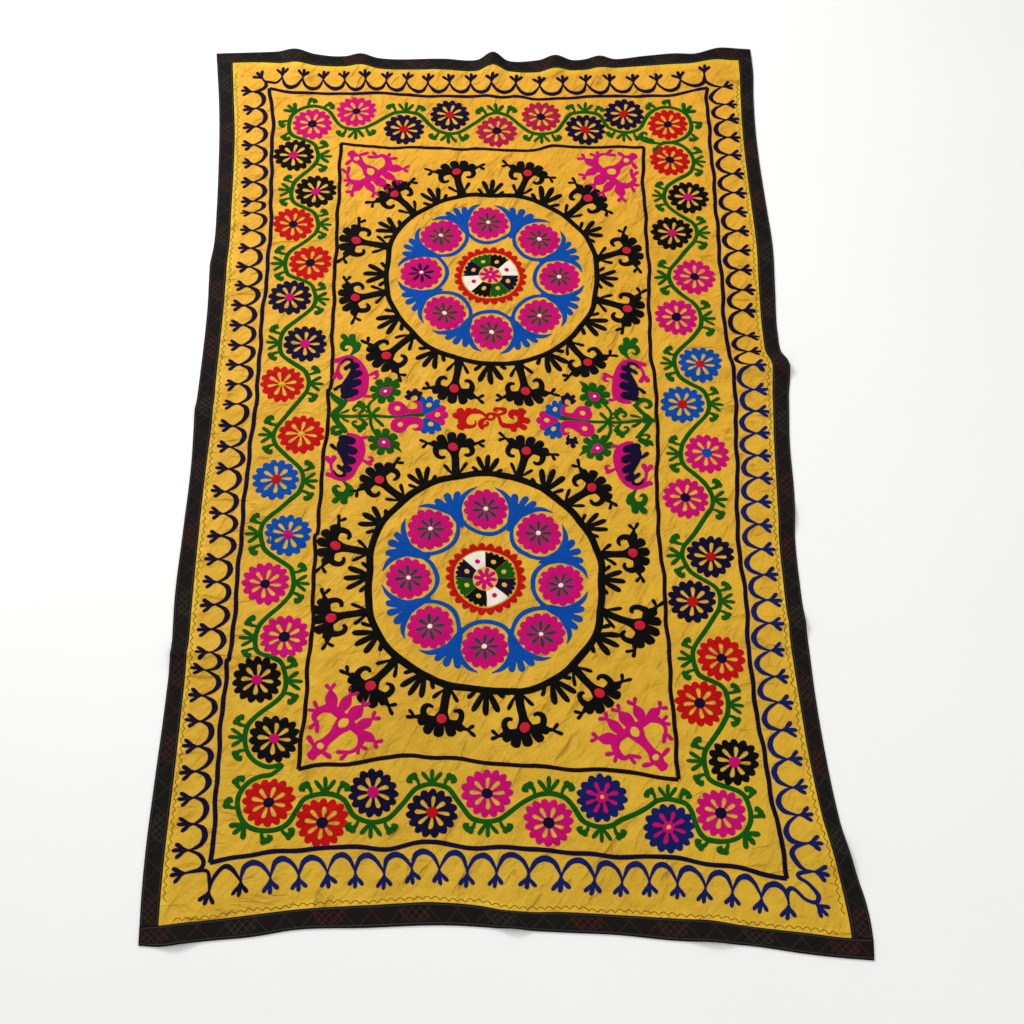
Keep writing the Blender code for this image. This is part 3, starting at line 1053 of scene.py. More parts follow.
@dataclass
class Embroiderer:
    """Lays finished needlework on the cloth and keeps the pieces that it makes."""

    cloth: Cloth
    pieces: list[bpy.types.Object] = field(default_factory=list)

    def finish(self, name: str, mesh: bpy.types.Mesh, thread: Thread) -> bpy.types.Object:
        """Drapes a flat mesh, dresses it in its thread and registers the piece.

        Args:
            name: The piece's name.
            mesh: Flat work in the plan.
            thread: Its thread.

        Returns:
            The piece.
        """
        points = np.empty(len(mesh.vertices) * 3)
        mesh.vertices.foreach_get("co", points)
        mesh.vertices.foreach_set("co", self.cloth.drape(points.reshape(-1, 3)).ravel())
        mesh.materials.clear()
        mesh.materials.append(thread.value.material())
        mesh.update()
        piece = link(name, mesh)
        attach(piece, BODY)
        self.pieces.append(piece)
        log.info("%s: %d faces in %s", name, len(mesh.polygons), thread.value.name)
        return piece

    def work(self, name: str, thread: Thread, *parts: Needlework) -> bpy.types.Object:
        """Works a piece that is drawn in place."""
        whole = Needlework().add(*parts)
        return self.finish(name, whole.mesh(name), thread)

    def repeat(
        self,
        name: str,
        thread: Thread,
        motif: Needlework,
        spots: Iterable[Spot],
        tremor: tuple[float, float] = (0.03, 0.03),
        seed: int = 1,
    ) -> bpy.types.Object:
        """Works a motif at many spots with Geometry Nodes.

        Args:
            name: The piece's name.
            thread: Its thread.
            motif: One copy, drawn about its own origin.
            spots: Where the copies go.
            tremor: Random turn in radians and random change of size.
            seed: Seed of both.

        Returns:
            The piece.
        """
        rows = np.array([tuple(spot) for spot in spots])
        pattern = link(name + "_motif", motif.mesh(name + "_motif"))
        carrier_mesh = bpy.data.meshes.new(name + "_spots")
        carrier_mesh.from_pydata([(x, y, 0.0) for x, y in rows[:, :2]], [], [])
        for label, values in (("turn", np.radians(rows[:, 2])), ("along", rows[:, 3]), ("out", rows[:, 4])):
            layer = carrier_mesh.attributes.new(label, "FLOAT", "POINT")
            layer.data.foreach_set("value", values.astype(np.float32))
        carrier = link(name + "_carrier", carrier_mesh)
        modifier = carrier.modifiers.new("Motifs", "NODES")
        modifier.node_group = MotifTree.tree()
        given = [item for item in modifier.node_group.interface.items_tree if item.in_out == "INPUT"]
        sockets = {item.name: item.identifier for item in given}
        modifier[sockets["Motif"]] = pattern
        modifier[sockets["Thread"]] = thread.value.material()
        modifier[sockets["Turn Tremor"]] = tremor[0]
        modifier[sockets["Size Tremor"]] = tremor[1]
        modifier[sockets["Seed"]] = seed
        graph = bpy.context.evaluated_depsgraph_get()
        mesh = bpy.data.meshes.new_from_object(
            carrier.evaluated_get(graph), preserve_all_data_layers=True, depsgraph=graph
        )
        mesh.name = name
        carrier.modifiers.clear()
        for scaffold in (carrier, pattern):
            bpy.data.objects.remove(scaffold, do_unlink=True)
        return self.finish(name, mesh, thread)


# The cloth's own pieces


@dataclass
class GroundSatin:
    """The ground cloth's upper face as one thin sheet, with a paler hem along the tape."""

    cloth: Cloth
    columns: int = 232
    rows: int = 404
    hem_width: float = 0.014
    hem_fade: float = 0.004
    tuck_under: float = 0.0012

    def build(self, with_pieces: Sequence[bpy.types.Object]) -> bpy.types.Object:
        """Args:
            with_pieces: The embroidered pieces on it. Not used.

        Returns:
            The sheet.
        """
        across, along = np.meshgrid(np.linspace(0, 1, self.columns + 1), np.linspace(0, 1, self.rows + 1))
        x, y = self.cloth.lay_out(across.ravel(), along.ravel())
        left, right = (self.cloth.lines[side][1](y) for side in ("left", "right"))
        bottom, top = (self.cloth.lines[side][1](x) for side in ("bottom", "top"))
        from_edge = np.minimum.reduce([x - left, right - x, y - bottom, top - y])
        x = x + self.tuck_under * (((across.ravel() == 1) * 1.0) - (across.ravel() == 0))
        y = y + self.tuck_under * (((along.ravel() == 1) * 1.0) - (along.ravel() == 0))
        points = np.column_stack([x - self.cloth.middle[0], y - self.cloth.middle[1], self.cloth.top(x, y)])
        index = np.arange(len(x)).reshape(self.rows + 1, self.columns + 1)
        corners = [index[:-1, :-1], index[:-1, 1:], index[1:, 1:], index[1:, :-1]]
        quads = np.stack(corners, axis=2).reshape(-1, 4)
        mesh = build_mesh("ground_satin", points, quads, np.column_stack([x, y]))
        hem = mesh.attributes.new("hem", "FLOAT", "POINT")
        paleness = np.clip((self.hem_width - from_edge) / self.hem_fade, 0, 1)
        hem.data.foreach_set("value", paleness.astype(np.float32))
        mesh.materials.append(SatinFinish().material())
        sheet = link("ground_satin", mesh)
        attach(sheet, BODY)
        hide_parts("ground_cloth")
        log.info("ground_satin: %d faces", len(mesh.polygons))
        return sheet


class TapeRun(NamedTuple):
    """One strip of tape: its node, its reach in cloth coordinates and which way it runs."""

    node: str
    across: tuple[float, float]
    along: tuple[float, float]
    runs_across: bool


@dataclass
class EdgeTape:
    """Four strips of woven tape with soft rounded edges, folded over the cloth's edge."""

    cloth: Cloth
    steps: int = 520
    thickness: float = 0.0032
    gap_under: float = 0.0001

    RUNS = (
        TapeRun("binding_top", (-1, 2), (1, 2), True),
        TapeRun("binding_bottom", (-1, 2), (-1, 0), True),
        TapeRun("binding_left", (-1, 0), (0, 1), False),
        TapeRun("binding_right", (1, 2), (0, 1), False),
    )
    # Share across the tape and share of its thickness, once round the section
    SECTION = (
        (0, 0.45), (0.010, 0.80), (0.045, 0.98), (0.100, 1), (0.250, 0.96), (0.500, 0.94), (0.750, 0.96),
        (0.900, 1), (0.955, 0.98), (0.990, 0.80), (1, 0.45), (0.985, 0.05), (0.500, 0.03), (0.015, 0.05),
    )
    MIDDLE = 5  # where the section crosses the tape's middle line
    UNDERSIDE = 0.3  # the section's points below this share lie flat under the tape

    def build(self) -> list[bpy.types.Object]:
        """Builds every strip in turn."""
        finish = TapeFinish().material()
        return [self.strip(run, finish) for run in self.RUNS]

    def strip(self, run: TapeRun, finish: bpy.types.Material) -> bpy.types.Object:
        """Builds one closed strip.

        Args:
            run: Which strip.
            finish: Its material.

        Returns:
            The strip.
        """
        section = np.array(self.SECTION)
        count = len(section)
        step = np.repeat(np.linspace(0, 1, self.steps + 1), count)
        share = np.tile(section[:, 0], self.steps + 1)
        rise = np.tile(section[:, 1], self.steps + 1)
        if run.runs_across:
            across = run.across[0] + step * (run.across[1] - run.across[0])
            along = run.along[0] + share * (run.along[1] - run.along[0])
        else:
            across = run.across[0] + share * (run.across[1] - run.across[0])
            along = run.along[0] + step * (run.along[1] - run.along[0])
        x, y = self.cloth.lay_out(across, along)
        lift = np.where(rise > self.UNDERSIDE, rise * self.thickness, self.gap_under) - self.cloth.thickness
        z = self.cloth.top(x, y) + lift
        points = np.column_stack([x - self.cloth.middle[0], y - self.cloth.middle[1], z])
        centre = points.reshape(-1, count, 3)[:, self.MIDDLE]
        length = np.concatenate([[0], np.cumsum(np.linalg.norm(np.diff(centre, axis=0), axis=1))])
        uv = np.column_stack([np.repeat(length, count), share])
        index = np.arange(len(points)).reshape(-1, count)
        ahead = np.roll(index, -1, axis=1)
        quads = np.stack([index[:-1], index[1:], ahead[1:], ahead[:-1]], axis=2).reshape(-1, 4)
        if run.runs_across:
            quads = quads[:, ::-1]
        mesh = build_mesh(run.node + "_tape", points, quads, uv)
        mesh.materials.append(finish)
        self.close(mesh, index)
        piece = link(run.node + "_tape", mesh)
        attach(piece, BODY)
        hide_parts(run.node)
        log.info("%s: %d faces, %.2f m", piece.name, len(mesh.polygons), length[-1])
        return piece

    @staticmethod
    def close(mesh: bpy.types.Mesh, index: np.ndarray) -> None:
        """Caps both ends of a strip and turns all its faces outward."""
        work = bmesh.new()
        work.from_mesh(mesh)
        work.verts.ensure_lookup_table()
        for ring in (index[0], index[-1]):
            work.faces.new([work.verts[int(i)] for i in ring])
        bmesh.ops.recalc_face_normals(work, faces=work.faces[:])
        work.to_mesh(mesh)
        work.free()


# The embroidery's layout, in metres from the middle of the design

Line = tuple[tuple[float, float], ...]

NAVY_LEFT: Line = (
    (-0.5456, -1.025), (-0.5425, -0.95), (-0.547, -0.80), (-0.546, -0.70), (-0.545, -0.603),
    (-0.539, -0.590), (-0.539, -0.45), (-0.538, -0.15), (-0.5325, 0.0), (-0.531, 0.10), (-0.534, 0.25),
    (-0.531, 0.45), (-0.534, 0.60), (-0.541, 0.70), (-0.545, 0.80), (-0.550, 0.90), (-0.564, 0.997),
)
NAVY_TOP: Line = (
    (-0.564, 0.997), (-0.50, 0.9875), (-0.40, 0.984), (-0.30, 0.989), (-0.20, 0.984), (-0.10, 0.981),
    (-0.02, 0.986), (0.025, 0.981), (0.075, 0.984), (0.119, 0.978), (0.206, 0.9825), (0.275, 0.9925),
    (0.35, 0.990), (0.40, 0.995), (0.475, 1.001), (0.555, 1.025),
)
NAVY_RIGHT: Line = (
    (0.555, 1.025), (0.551, 0.95), (0.551, 0.70), (0.550, 0.60), (0.549, 0.40), (0.547, 0.30),
    (0.549, 0.20), (0.5575, 0.1375), (0.553, 0.0), (0.541, -0.20), (0.534, -0.30), (0.540, -0.42),
    (0.5375, -0.60), (0.5425, -0.70), (0.550, -0.80), (0.559, -0.90), (0.5675, -0.975), (0.575, -1.056),
)
NAVY_BOTTOM: Line = (
    (0.575, -1.056), (0.50, -1.039), (0.425, -1.026), (0.35, -1.014), (0.275, -1.0125), (0.175, -1.0075),
    (0.075, -0.997), (-0.05, -0.994), (-0.125, -0.984), (-0.20, -0.997), (-0.30, -0.995), (-0.40, -1.003),
    (-0.50, -1.0156), (-0.5456, -1.025),
)
FIELD_LEFT: Line = (
    (-0.386, -0.836), (-0.380, -0.70), (-0.378, -0.60), (-0.375, -0.50), (-0.378, -0.40), (-0.380, -0.31),
    (-0.374, -0.295), (-0.375, -0.20), (-0.372, -0.10), (-0.3675, 0.0), (-0.369, 0.078), (-0.3645, 0.092),
    (-0.370, 0.30), (-0.372, 0.50), (-0.373, 0.65), (-0.375, 0.819),
)
FIELD_TOP: Line = (
    (-0.375, 0.819), (-0.30, 0.8075), (-0.20, 0.8075), (0.0, 0.805), (0.10, 0.805), (0.1625, 0.820),
    (0.25, 0.8175), (0.381, 0.822),
)
FIELD_RIGHT: Line = (
    (0.381, 0.822), (0.375, 0.70), (0.376, 0.50), (0.375, 0.40), (0.370, 0.30), (0.369, 0.20),
    (0.374, 0.10), (0.375, 0.0), (0.369, -0.10), (0.3625, -0.25), (0.3675, -0.40), (0.370, -0.65),
    (0.374, -0.855),
)
FIELD_BOTTOM: Line = (
    (0.374, -0.855), (0.275, -0.8375), (0.175, -0.8325), (0.075, -0.826), (0.0, -0.820), (-0.10, -0.809),
    (-0.181, -0.805), (-0.256, -0.819), (-0.344, -0.826), (-0.386, -0.836),
)


def both_sides(half: Needlework) -> Needlework:
    """Adds a drawing's mirror image across its Y axis."""
    return Needlework().add(half, half.placed(0, 0, mirror_x=True))


@dataclass
class FrameLines:
    """The navy line round the border and the dark line round the field, each worked as four runs."""

    navy_width: float = 0.0095
    field_width: float = 0.0088

    def build(self, hand: Embroiderer) -> None:
        """Works both frames."""
        navy = Needlework()
        for line in (NAVY_LEFT, NAVY_TOP, NAVY_RIGHT, NAVY_BOTTOM):
            navy.stroke(line, [self.navy_width], spacing=0.006)
        hand.work("navy_frame_line", Thread.NAVY, navy)
        dark = Needlework()
        for line in (FIELD_LEFT, FIELD_TOP, FIELD_RIGHT, FIELD_BOTTOM):
            dark.stroke(line, [self.field_width], spacing=0.006)
        hand.work("field_frame_line", Thread.FRAME, dark)


class ArcRun(NamedTuple):
    """A stretch of scallops along one side: its first and last node and how many arcs lie between."""

    start: float
    end: float
    arcs: int
    thread: Thread = Thread.NAVY


@dataclass
class ScallopEdging:
    """Hanging arcs outside the navy frame, each joined to the next under a three-fingered finial."""

    pitch: float = 0.057

    LEFT = (
        ArcRun(-1.004, -0.622, 7), ArcRun(-0.622, -0.584, 1), ArcRun(-0.584, 0.5925, 21),
        ArcRun(0.5925, 0.628, 1), ArcRun(0.628, 0.988, 6),
    )
    TOP = (ArcRun(-0.5375, 0.0, 10), ArcRun(0.0, 0.549, 9))
    RIGHT = (
        ArcRun(0.970, 0.918, 1), ArcRun(0.918, 0.3156, 10), ArcRun(0.3156, 0.2406, 1),
        ArcRun(0.2406, 0.153, 2), ArcRun(0.153, -0.987, 19, Thread.ROYAL),
    )
    BOTTOM = (
        ArcRun(0.573, 0.197, 7, Thread.ROYAL), ArcRun(0.197, 0.009, 3, Thread.ROYAL),
        ArcRun(0.009, -0.4825, 9, Thread.ROYAL),
    )

    def motif(self, depth: float) -> Needlework:
        """Draws one finial and the arc that leads to the next, whose depth is a share of the usual."""
        arc = [
            (0, 2), (1.5, -4), (6, -14), (15, -26), (30, -32.5), (45, -27), (52.5, -14), (56, -4), (57, 2)
        ]
        arc = [(x, y * depth) for x, y in arc]
        work = Needlework().strand(arc, (4, 4.5, 7, 9, 12, 10.5, 7, 4.5, 4))
        return work.add(self.finial())

    @staticmethod
    def finial() -> Needlework:
        """Draws a stem with three rounded fingers."""
        work = Needlework().strand(((0, -4), (0, 2), (0, 8), (0, 16)), (4, 5, 11, 15), step=2.5)
        return work.club(0, 6, 1, 32, 8.6).club(0, 6, -16, 24, 8.6).club(0, 6, 15, 27, 8.6)

    def spots(self, run: ArcRun, frame_line: Line, along_x: bool, outward: float) -> list[Spot]:
        """Spaces a run's arcs outside its frame line.

        Args:
            run: The stretch.
            frame_line: The navy line beside it.
            along_x: True at the top and bottom.
            outward: How far the nodes lie from the line, below 0 at the left and the bottom.

        Returns:
            One spot for each arc, at its first node.
        """
        rows = np.array(sorted(frame_line, key=lambda point: point[0 if along_x else 1]))
        step = (run.end - run.start) / run.arcs
        stations, offsets = (rows[:, 0], rows[:, 1]) if along_x else (rows[:, 1], rows[:, 0])
        places = run.start + step * np.arange(run.arcs + 1)
        lines = np.interp(places, stations, offsets) + outward
        nodes = np.column_stack([places, lines]) if along_x else np.column_stack([lines, places])
        made = []
        for here, there in zip(nodes[:-1], nodes[1:]):
            run_x, run_y = there - here
            turn = math.degrees(math.atan2(run_y, run_x))
            made.append(Spot(here[0], here[1], turn, math.hypot(run_x, run_y) / self.pitch))
        return made

    def build(self, hand: Embroiderer) -> None:
        """Works each side, part of it in the bluer thread, then the corners."""
        sides = (
            ("left", self.LEFT, NAVY_LEFT, False, -0.0430, 0.84),
            ("top", self.TOP, NAVY_TOP, True, 0.0470, 1.0),
            ("right", self.RIGHT, NAVY_RIGHT, False, 0.0460, 1.0),
            ("bottom", self.BOTTOM, NAVY_BOTTOM, True, -0.0500, 1.08),
        )
        for seed, (side, runs, line, along_x, outward, depth) in enumerate(sides):
            for thread in (Thread.NAVY, Thread.ROYAL):
                worked = [run for run in runs if run.thread is thread]
                spots = [spot for run in worked for spot in self.spots(run, line, along_x, outward)]
                if spots:
                    name = f"{side}_scallops_{thread.name.lower()}"
                    hand.repeat(name, thread, self.motif(depth), spots, (0.06, 0.03), seed=3 + seed)
        hand.work("navy_scallop_corners", Thread.NAVY, self.corner_top_left(), self.corner_top_right())
        hand.work("blue_scallop_corners", Thread.ROYAL, self.corner_bottom_right())
        hand.work("lower_left_scallop_corner", Thread.NAVY, self.corner_bottom_left())

    @staticmethod
    def link(points: Sequence[tuple[float, float]], *widths: float) -> Needlework:
        """Draws a curved link at a corner, all in millimetres of the plan."""
        return Needlework().strand(points, widths)

    def corner_top_left(self) -> Needlework:
        """Draws the upper left corner's finials and links."""
        return Needlework().add(
            self.finial().placed(-0.605, 0.988, 86),
            self.finial().placed(-0.584, 1.030, 36),
            self.link(((-584, 1030), (-577, 1022), (-551, 1018), (-537.5, 1038)), 4, 7, 8, 4),
            self.link(((-578, 1022), (-574, 1006), (-584, 994), (-605, 988)), 6, 10, 10, 4),
        )

    def corner_top_right(self) -> Needlework:
        """Draws the upper right corner's finials and links."""
        return Needlework().add(
            self.finial().placed(0.549, 1.069, -4),
            self.finial().placed(0.592, 1.031, -72),
            self.link(((549, 1067), (552, 1044), (571, 1033), (592, 1031)), 4, 9, 8, 4),
            self.link(((592, 1031), (573, 1012), (564, 992), (574, 976), (597, 970)), 4, 9, 11, 8, 4),
        )

    def corner_bottom_right(self) -> Needlework:
        """Draws the lower right corner's finials and its long winding link."""
        winding = (
            (625, -1042), (609, -1043), (598, -1046), (599, -1054), (613, -1064), (627, -1079),
            (634, -1090), (630, -1101), (622, -1103), (607, -1098), (596, -1087), (585, -1077),
            (576, -1077), (572, -1088), (573, -1101),
        )
        return Needlework().add(
            self.finial().placed(0.617, -0.987, -92),
            self.finial().placed(0.627, -1.042, -104),
            self.finial().placed(0.626, -1.103, -140),
            self.link(
                ((617, -987), (594, -991), (586, -1004), (597, -1024), (611, -1038), (625, -1042)),
                4, 9, 11, 9, 7, 5,
            ),
            self.link(winding, 5, 8, 9, 8, 7, 8, 10, 9, 8, 7, 7, 8, 10, 7, 4),
        )

    def corner_bottom_left(self) -> Needlework:
        """Draws the lower left corner's finials and links."""
        return Needlework().add(
            self.finial().placed(-0.4825, -1.064, 180),
            self.finial().placed(-0.541, -1.080, 166),
            self.finial().placed(-0.588, -1.049, 98),
            self.link(
                ((-588, -1004), (-568, -1011), (-558, -1026), (-564, -1041), (-588, -1049)), 4, 8, 9, 9, 5
            ),
            self.link(
                ((-570, -1044), (-552, -1041), (-544, -1047), (-541, -1062), (-541, -1080)), 8, 7, 7, 7, 4
            ),
            self.link(
                ((-541, -1080), (-534, -1056), (-518, -1034), (-501, -1039), (-483, -1064)),
                4, 7, 10, 9, 4,
            ),
        )


class Bloom(NamedTuple):
    """One border bloom: its centre, its petals' and heart's threads and the side the vine passes it on."""

    x: float
    y: float
    petals: Thread
    heart: Thread
    vine_way: float  # degrees from +X to where the vine passes
    corner: bool = False
    looped: bool = False  # the vine goes round so far that it doubles back to the next bloom


BLACK, BLUE, CRIMSON, NAVY = Thread.BLACK, Thread.BLUE, Thread.CRIMSON, Thread.NAVY
PINK, RED, ROYAL, YELLOW = Thread.PINK, Thread.RED, Thread.ROYAL, Thread.YELLOW

# Clockwise from the upper left corner
BLOOMS = tuple(Bloom(*row) for row in (
    (-0.450, 0.880, PINK, NAVY, 135, True), (-0.340, 0.926, PINK, NAVY, 270),
    (-0.218, 0.869, NAVY, RED, 90), (-0.106, 0.917, NAVY, RED, 270), (0.013, 0.865, CRIMSON, NAVY, 90),
    (0.127, 0.918, CRIMSON, NAVY, 270), (0.2375, 0.877, NAVY, RED, 90), (0.336, 0.929, NAVY, RED, 270),
    (0.446, 0.897, RED, NAVY, 45, True, True), (0.444, 0.778, RED, NAVY, 0),
    (0.486, 0.660, BLACK, PINK, 180), (0.4375, 0.547, BLACK, PINK, 0), (0.4825, 0.4125, PINK, NAVY, 180),
    (0.434, 0.2925, PINK, NAVY, 0), (0.4825, 0.159, BLUE, RED, 180), (0.434, 0.049, BLUE, RED, 0),
    (0.4806, -0.084, PINK, BLUE, 180), (0.427, -0.200, PINK, NAVY, 0), (0.473, -0.344, NAVY, RED, 180),
    (0.425, -0.4525, NAVY, RED, 0), (0.4775, -0.587, RED, NAVY, 180), (0.4275, -0.689, RED, NAVY, 0),
    (0.4875, -0.814, BLACK, PINK, 180), (0.453, -0.922, PINK, NAVY, -45, True),
    (0.349, -0.955, ROYAL, YELLOW, 90), (0.2175, -0.8925, ROYAL, YELLOW, 270),
    (0.1125, -0.9425, PINK, NAVY, 90), (-0.008, -0.882, PINK, NAVY, 270), (-0.119, -0.925, NAVY, RED, 90),
    (-0.236, -0.884, NAVY, PINK, 270), (-0.3325, -0.944, RED, NAVY, 90),
    (-0.440, -0.904, RED, NAVY, -135, True, True), (-0.437, -0.769, BLACK, PINK, 180),
    (-0.482, -0.6425, BLACK, PINK, 0), (-0.432, -0.544, PINK, NAVY, 180),
    (-0.478, -0.4175, PINK, NAVY, 0), (-0.439, -0.300, BLUE, PINK, 180), (-0.475, -0.1625, BLUE, RED, 0),
    (-0.425, -0.044, RED, YELLOW, 180), (-0.475, 0.0925, RED, YELLOW, 0),
    (-0.430, 0.206, NAVY, PINK, 180), (-0.474, 0.337, NAVY, PINK, 0), (-0.430, 0.440, RED, NAVY, 180),
    (-0.478, 0.559, RED, NAVY, 0), (-0.430, 0.6625, BLACK, PINK, 180), (-0.489, 0.776, BLACK, PINK, 0),
))


@dataclass
class BloomBorder:
    """Round blooms between the frames, with a green vine that winds between them and sprouts leaves."""

    radius: float = 0.0510
    heart: float = 0.0118
    vine_reach: float = 0.0600
    vine_width: float = 0.0104

    def build(self, hand: Embroiderer) -> None:
        """Works the blooms by thread, then the vine and its leaves."""
        for thread in sorted({bloom.petals for bloom in BLOOMS}, key=lambda t: t.name):
            spots = [self.spot(bloom) for bloom in BLOOMS if bloom.petals is thread]
            motif = Needlework().bloom(0, 0, self.radius)
            hand.repeat(f"border_blooms_{thread.name.lower()}", thread, motif, spots, (0.25, 0.02), seed=11)
        filled = [self.spot(bloom) for bloom in BLOOMS if bloom.petals is Thread.ROYAL]
        filling = Needlework().disc(0, 0, 0.038, lift=0.0003, crown=0.0002, cells=48)
        hand.repeat("bloom_petal_filling", Thread.PINK, filling, filled, (0.1, 0.02), seed=14)
        middle = Needlework().disc(0, 0, 0.0125, lift=0.0008, cells=24)
        hand.repeat("bloom_petal_middles", Thread.PINK, middle, filled, (0.1, 0.02), seed=14)
        for thread in sorted({bloom.heart for bloom in BLOOMS}, key=lambda t: t.name):
            spots = [Spot(bloom.x, bloom.y) for bloom in BLOOMS if bloom.heart is thread]
            radius = self.heart if thread is not Thread.YELLOW else 0.0048
            motif = Needlework().disc(0, 0, radius, lobes=8, depth=0.10, lift=0.0012, cells=24)
            hand.repeat(f"bloom_hearts_{thread.name.lower()}", thread, motif, spots, (0.2, 0.08), seed=12)
        hand.work("border_vine", Thread.GREEN, self.vine())
        sprays = [self.leaf_spot(bloom) for bloom in BLOOMS if not bloom.corner]
        hand.repeat("vine_sprays", Thread.GREEN, self.spray(), sprays, (0.06, 0.05), seed=13)
        hand.work("vine_corner_leaves", Thread.GREEN, *(self.corner_leaves(b) for b in BLOOMS if b.corner))
        hand.work("vine_end", Thread.GREEN, self.vine_end().placed(0.420, 0.838))

    @staticmethod
    def spot(bloom: Bloom) -> Spot:
        """Turns each bloom a little differently, as its slits show."""
        return Spot(bloom.x, bloom.y, (bloom.x * 571 + bloom.y * 233) % 14)

    def passing(self, bloom: Bloom, angle: float, reach: float | None = None) -> tuple[float, float]:
        """A point at an angle from a bloom's centre, at the vine's reach."""
        way = math.radians(angle)
        reach = reach or self.vine_reach
        return bloom.x + reach * math.cos(way), bloom.y + reach * math.sin(way)

    def vine(self) -> Needlework:
        """Runs one closed stem past every bloom and between each two."""
        points: list[tuple[float, float]] = []
        for before, bloom, following in zip(BLOOMS[-1:] + BLOOMS[:-1], BLOOMS, BLOOMS[1:] + BLOOMS[:1]):
            turns = (88, 58, 29, 0, -29, -58, -88) if bloom.corner else (42, 21, 0, -21, -42)
            if bloom.looped:
                turns = (118,) + turns + (-114, -136)
            if not bloom.corner and self.runs_back(bloom, following):
                turns = turns[::-1]
            if before.looped:
                turns = (106, 82, 60) + turns if turns[0] > 0 else turns[:-1] + (60, 82, 106)
            points += [self.passing(bloom, bloom.vine_way + turn) for turn in turns]
        return Needlework().stroke(points, [self.vine_width], closed=True, lift=0.0003)

    @staticmethod
    def runs_back(bloom: Bloom, following: Bloom) -> bool:
        """Tells whether the way to the next bloom lies anticlockwise of the vine's side."""
        way = math.radians(bloom.vine_way)
        return math.cos(way) * (following.y - bloom.y) - math.sin(way) * (following.x - bloom.x) > 0

    def leaf_spot(self, bloom: Bloom) -> Spot:
        """Puts a spray where the vine bends furthest, pointing away from the bloom."""
        x, y = self.passing(bloom, bloom.vine_way)
        return Spot(x, y, bloom.vine_way - 90)

    @staticmethod
    def vine_end() -> Needlework:
        """Draws the loose end of the vine under the upper right corner's bloom, with its curled leaves."""
        work = Needlework().strand(((52, 1), (30, 0), (12, -4), (0, -13), (-7, -24)), (10, 9, 8, 8, 11))
        leaf = ((12, -4), (-6, -4), (-22, 0), (-35, 8), (-42, 20), (-35, 31), (-27, 29), (-28, 22))
        work.strand(leaf, (6, 7, 11, 15, 12, 9, 7, 3))
        work.disc(-0.009, -0.026, 0.0080, cells=16).disc(-0.018, 0.003, 0.0080, cells=16)
        return work.disc(-0.030, 0.010, 0.0085, cells=16)

    @staticmethod
    def comma() -> Needlework:
        """Draws a stem that rises and curls over to the right into a full lobed leaf."""
        work = Needlework().strand(
            ((0, -3), (0, 7), (3, 16), (10, 21), (16, 16), (13, 8)), (5.5, 6.5, 9, 13, 13, 4), step=2.5
        )
        return work.disc(0.006, 0.0235, 0.0062, cells=14).disc(0.0175, 0.0145, 0.0066, cells=14)

    def spray(self) -> Needlework:
        """Draws three full leaves with a curled leaf on each side."""
        work = Needlework().club(0, 0, 1, 34, 8.6).club(0, 0, -20, 27, 8.8).club(0, 0, 20, 27, 8.8)
        comma = self.comma()
        return work.add(comma.placed(0.026, -0.004, -6), comma.placed(-0.026, -0.004, 6, mirror_x=True))

    def corner_leaves(self, bloom: Bloom) -> Needlework:
        """Draws a corner's spray, which points into the corner, and commas round the loop."""
        work = Needlework()
        x, y = self.passing(bloom, bloom.vine_way)
        fan = Needlework().club(0, 0, -20, 26, 11).club(0, 0, 1, 32, 10).club(0, 0, 20, 26, 11)
        work.add(fan.placed(x, y, bloom.vine_way - 90))
        for angle, flipped in ((36, True), (72, True), (-36, False), (-72, False)):
            px, py = self.passing(bloom, bloom.vine_way + angle, self.vine_reach - 0.001)
            work.add(self.comma().placed(px, py, bloom.vine_way + angle - 90, mirror_x=flipped))
        return work


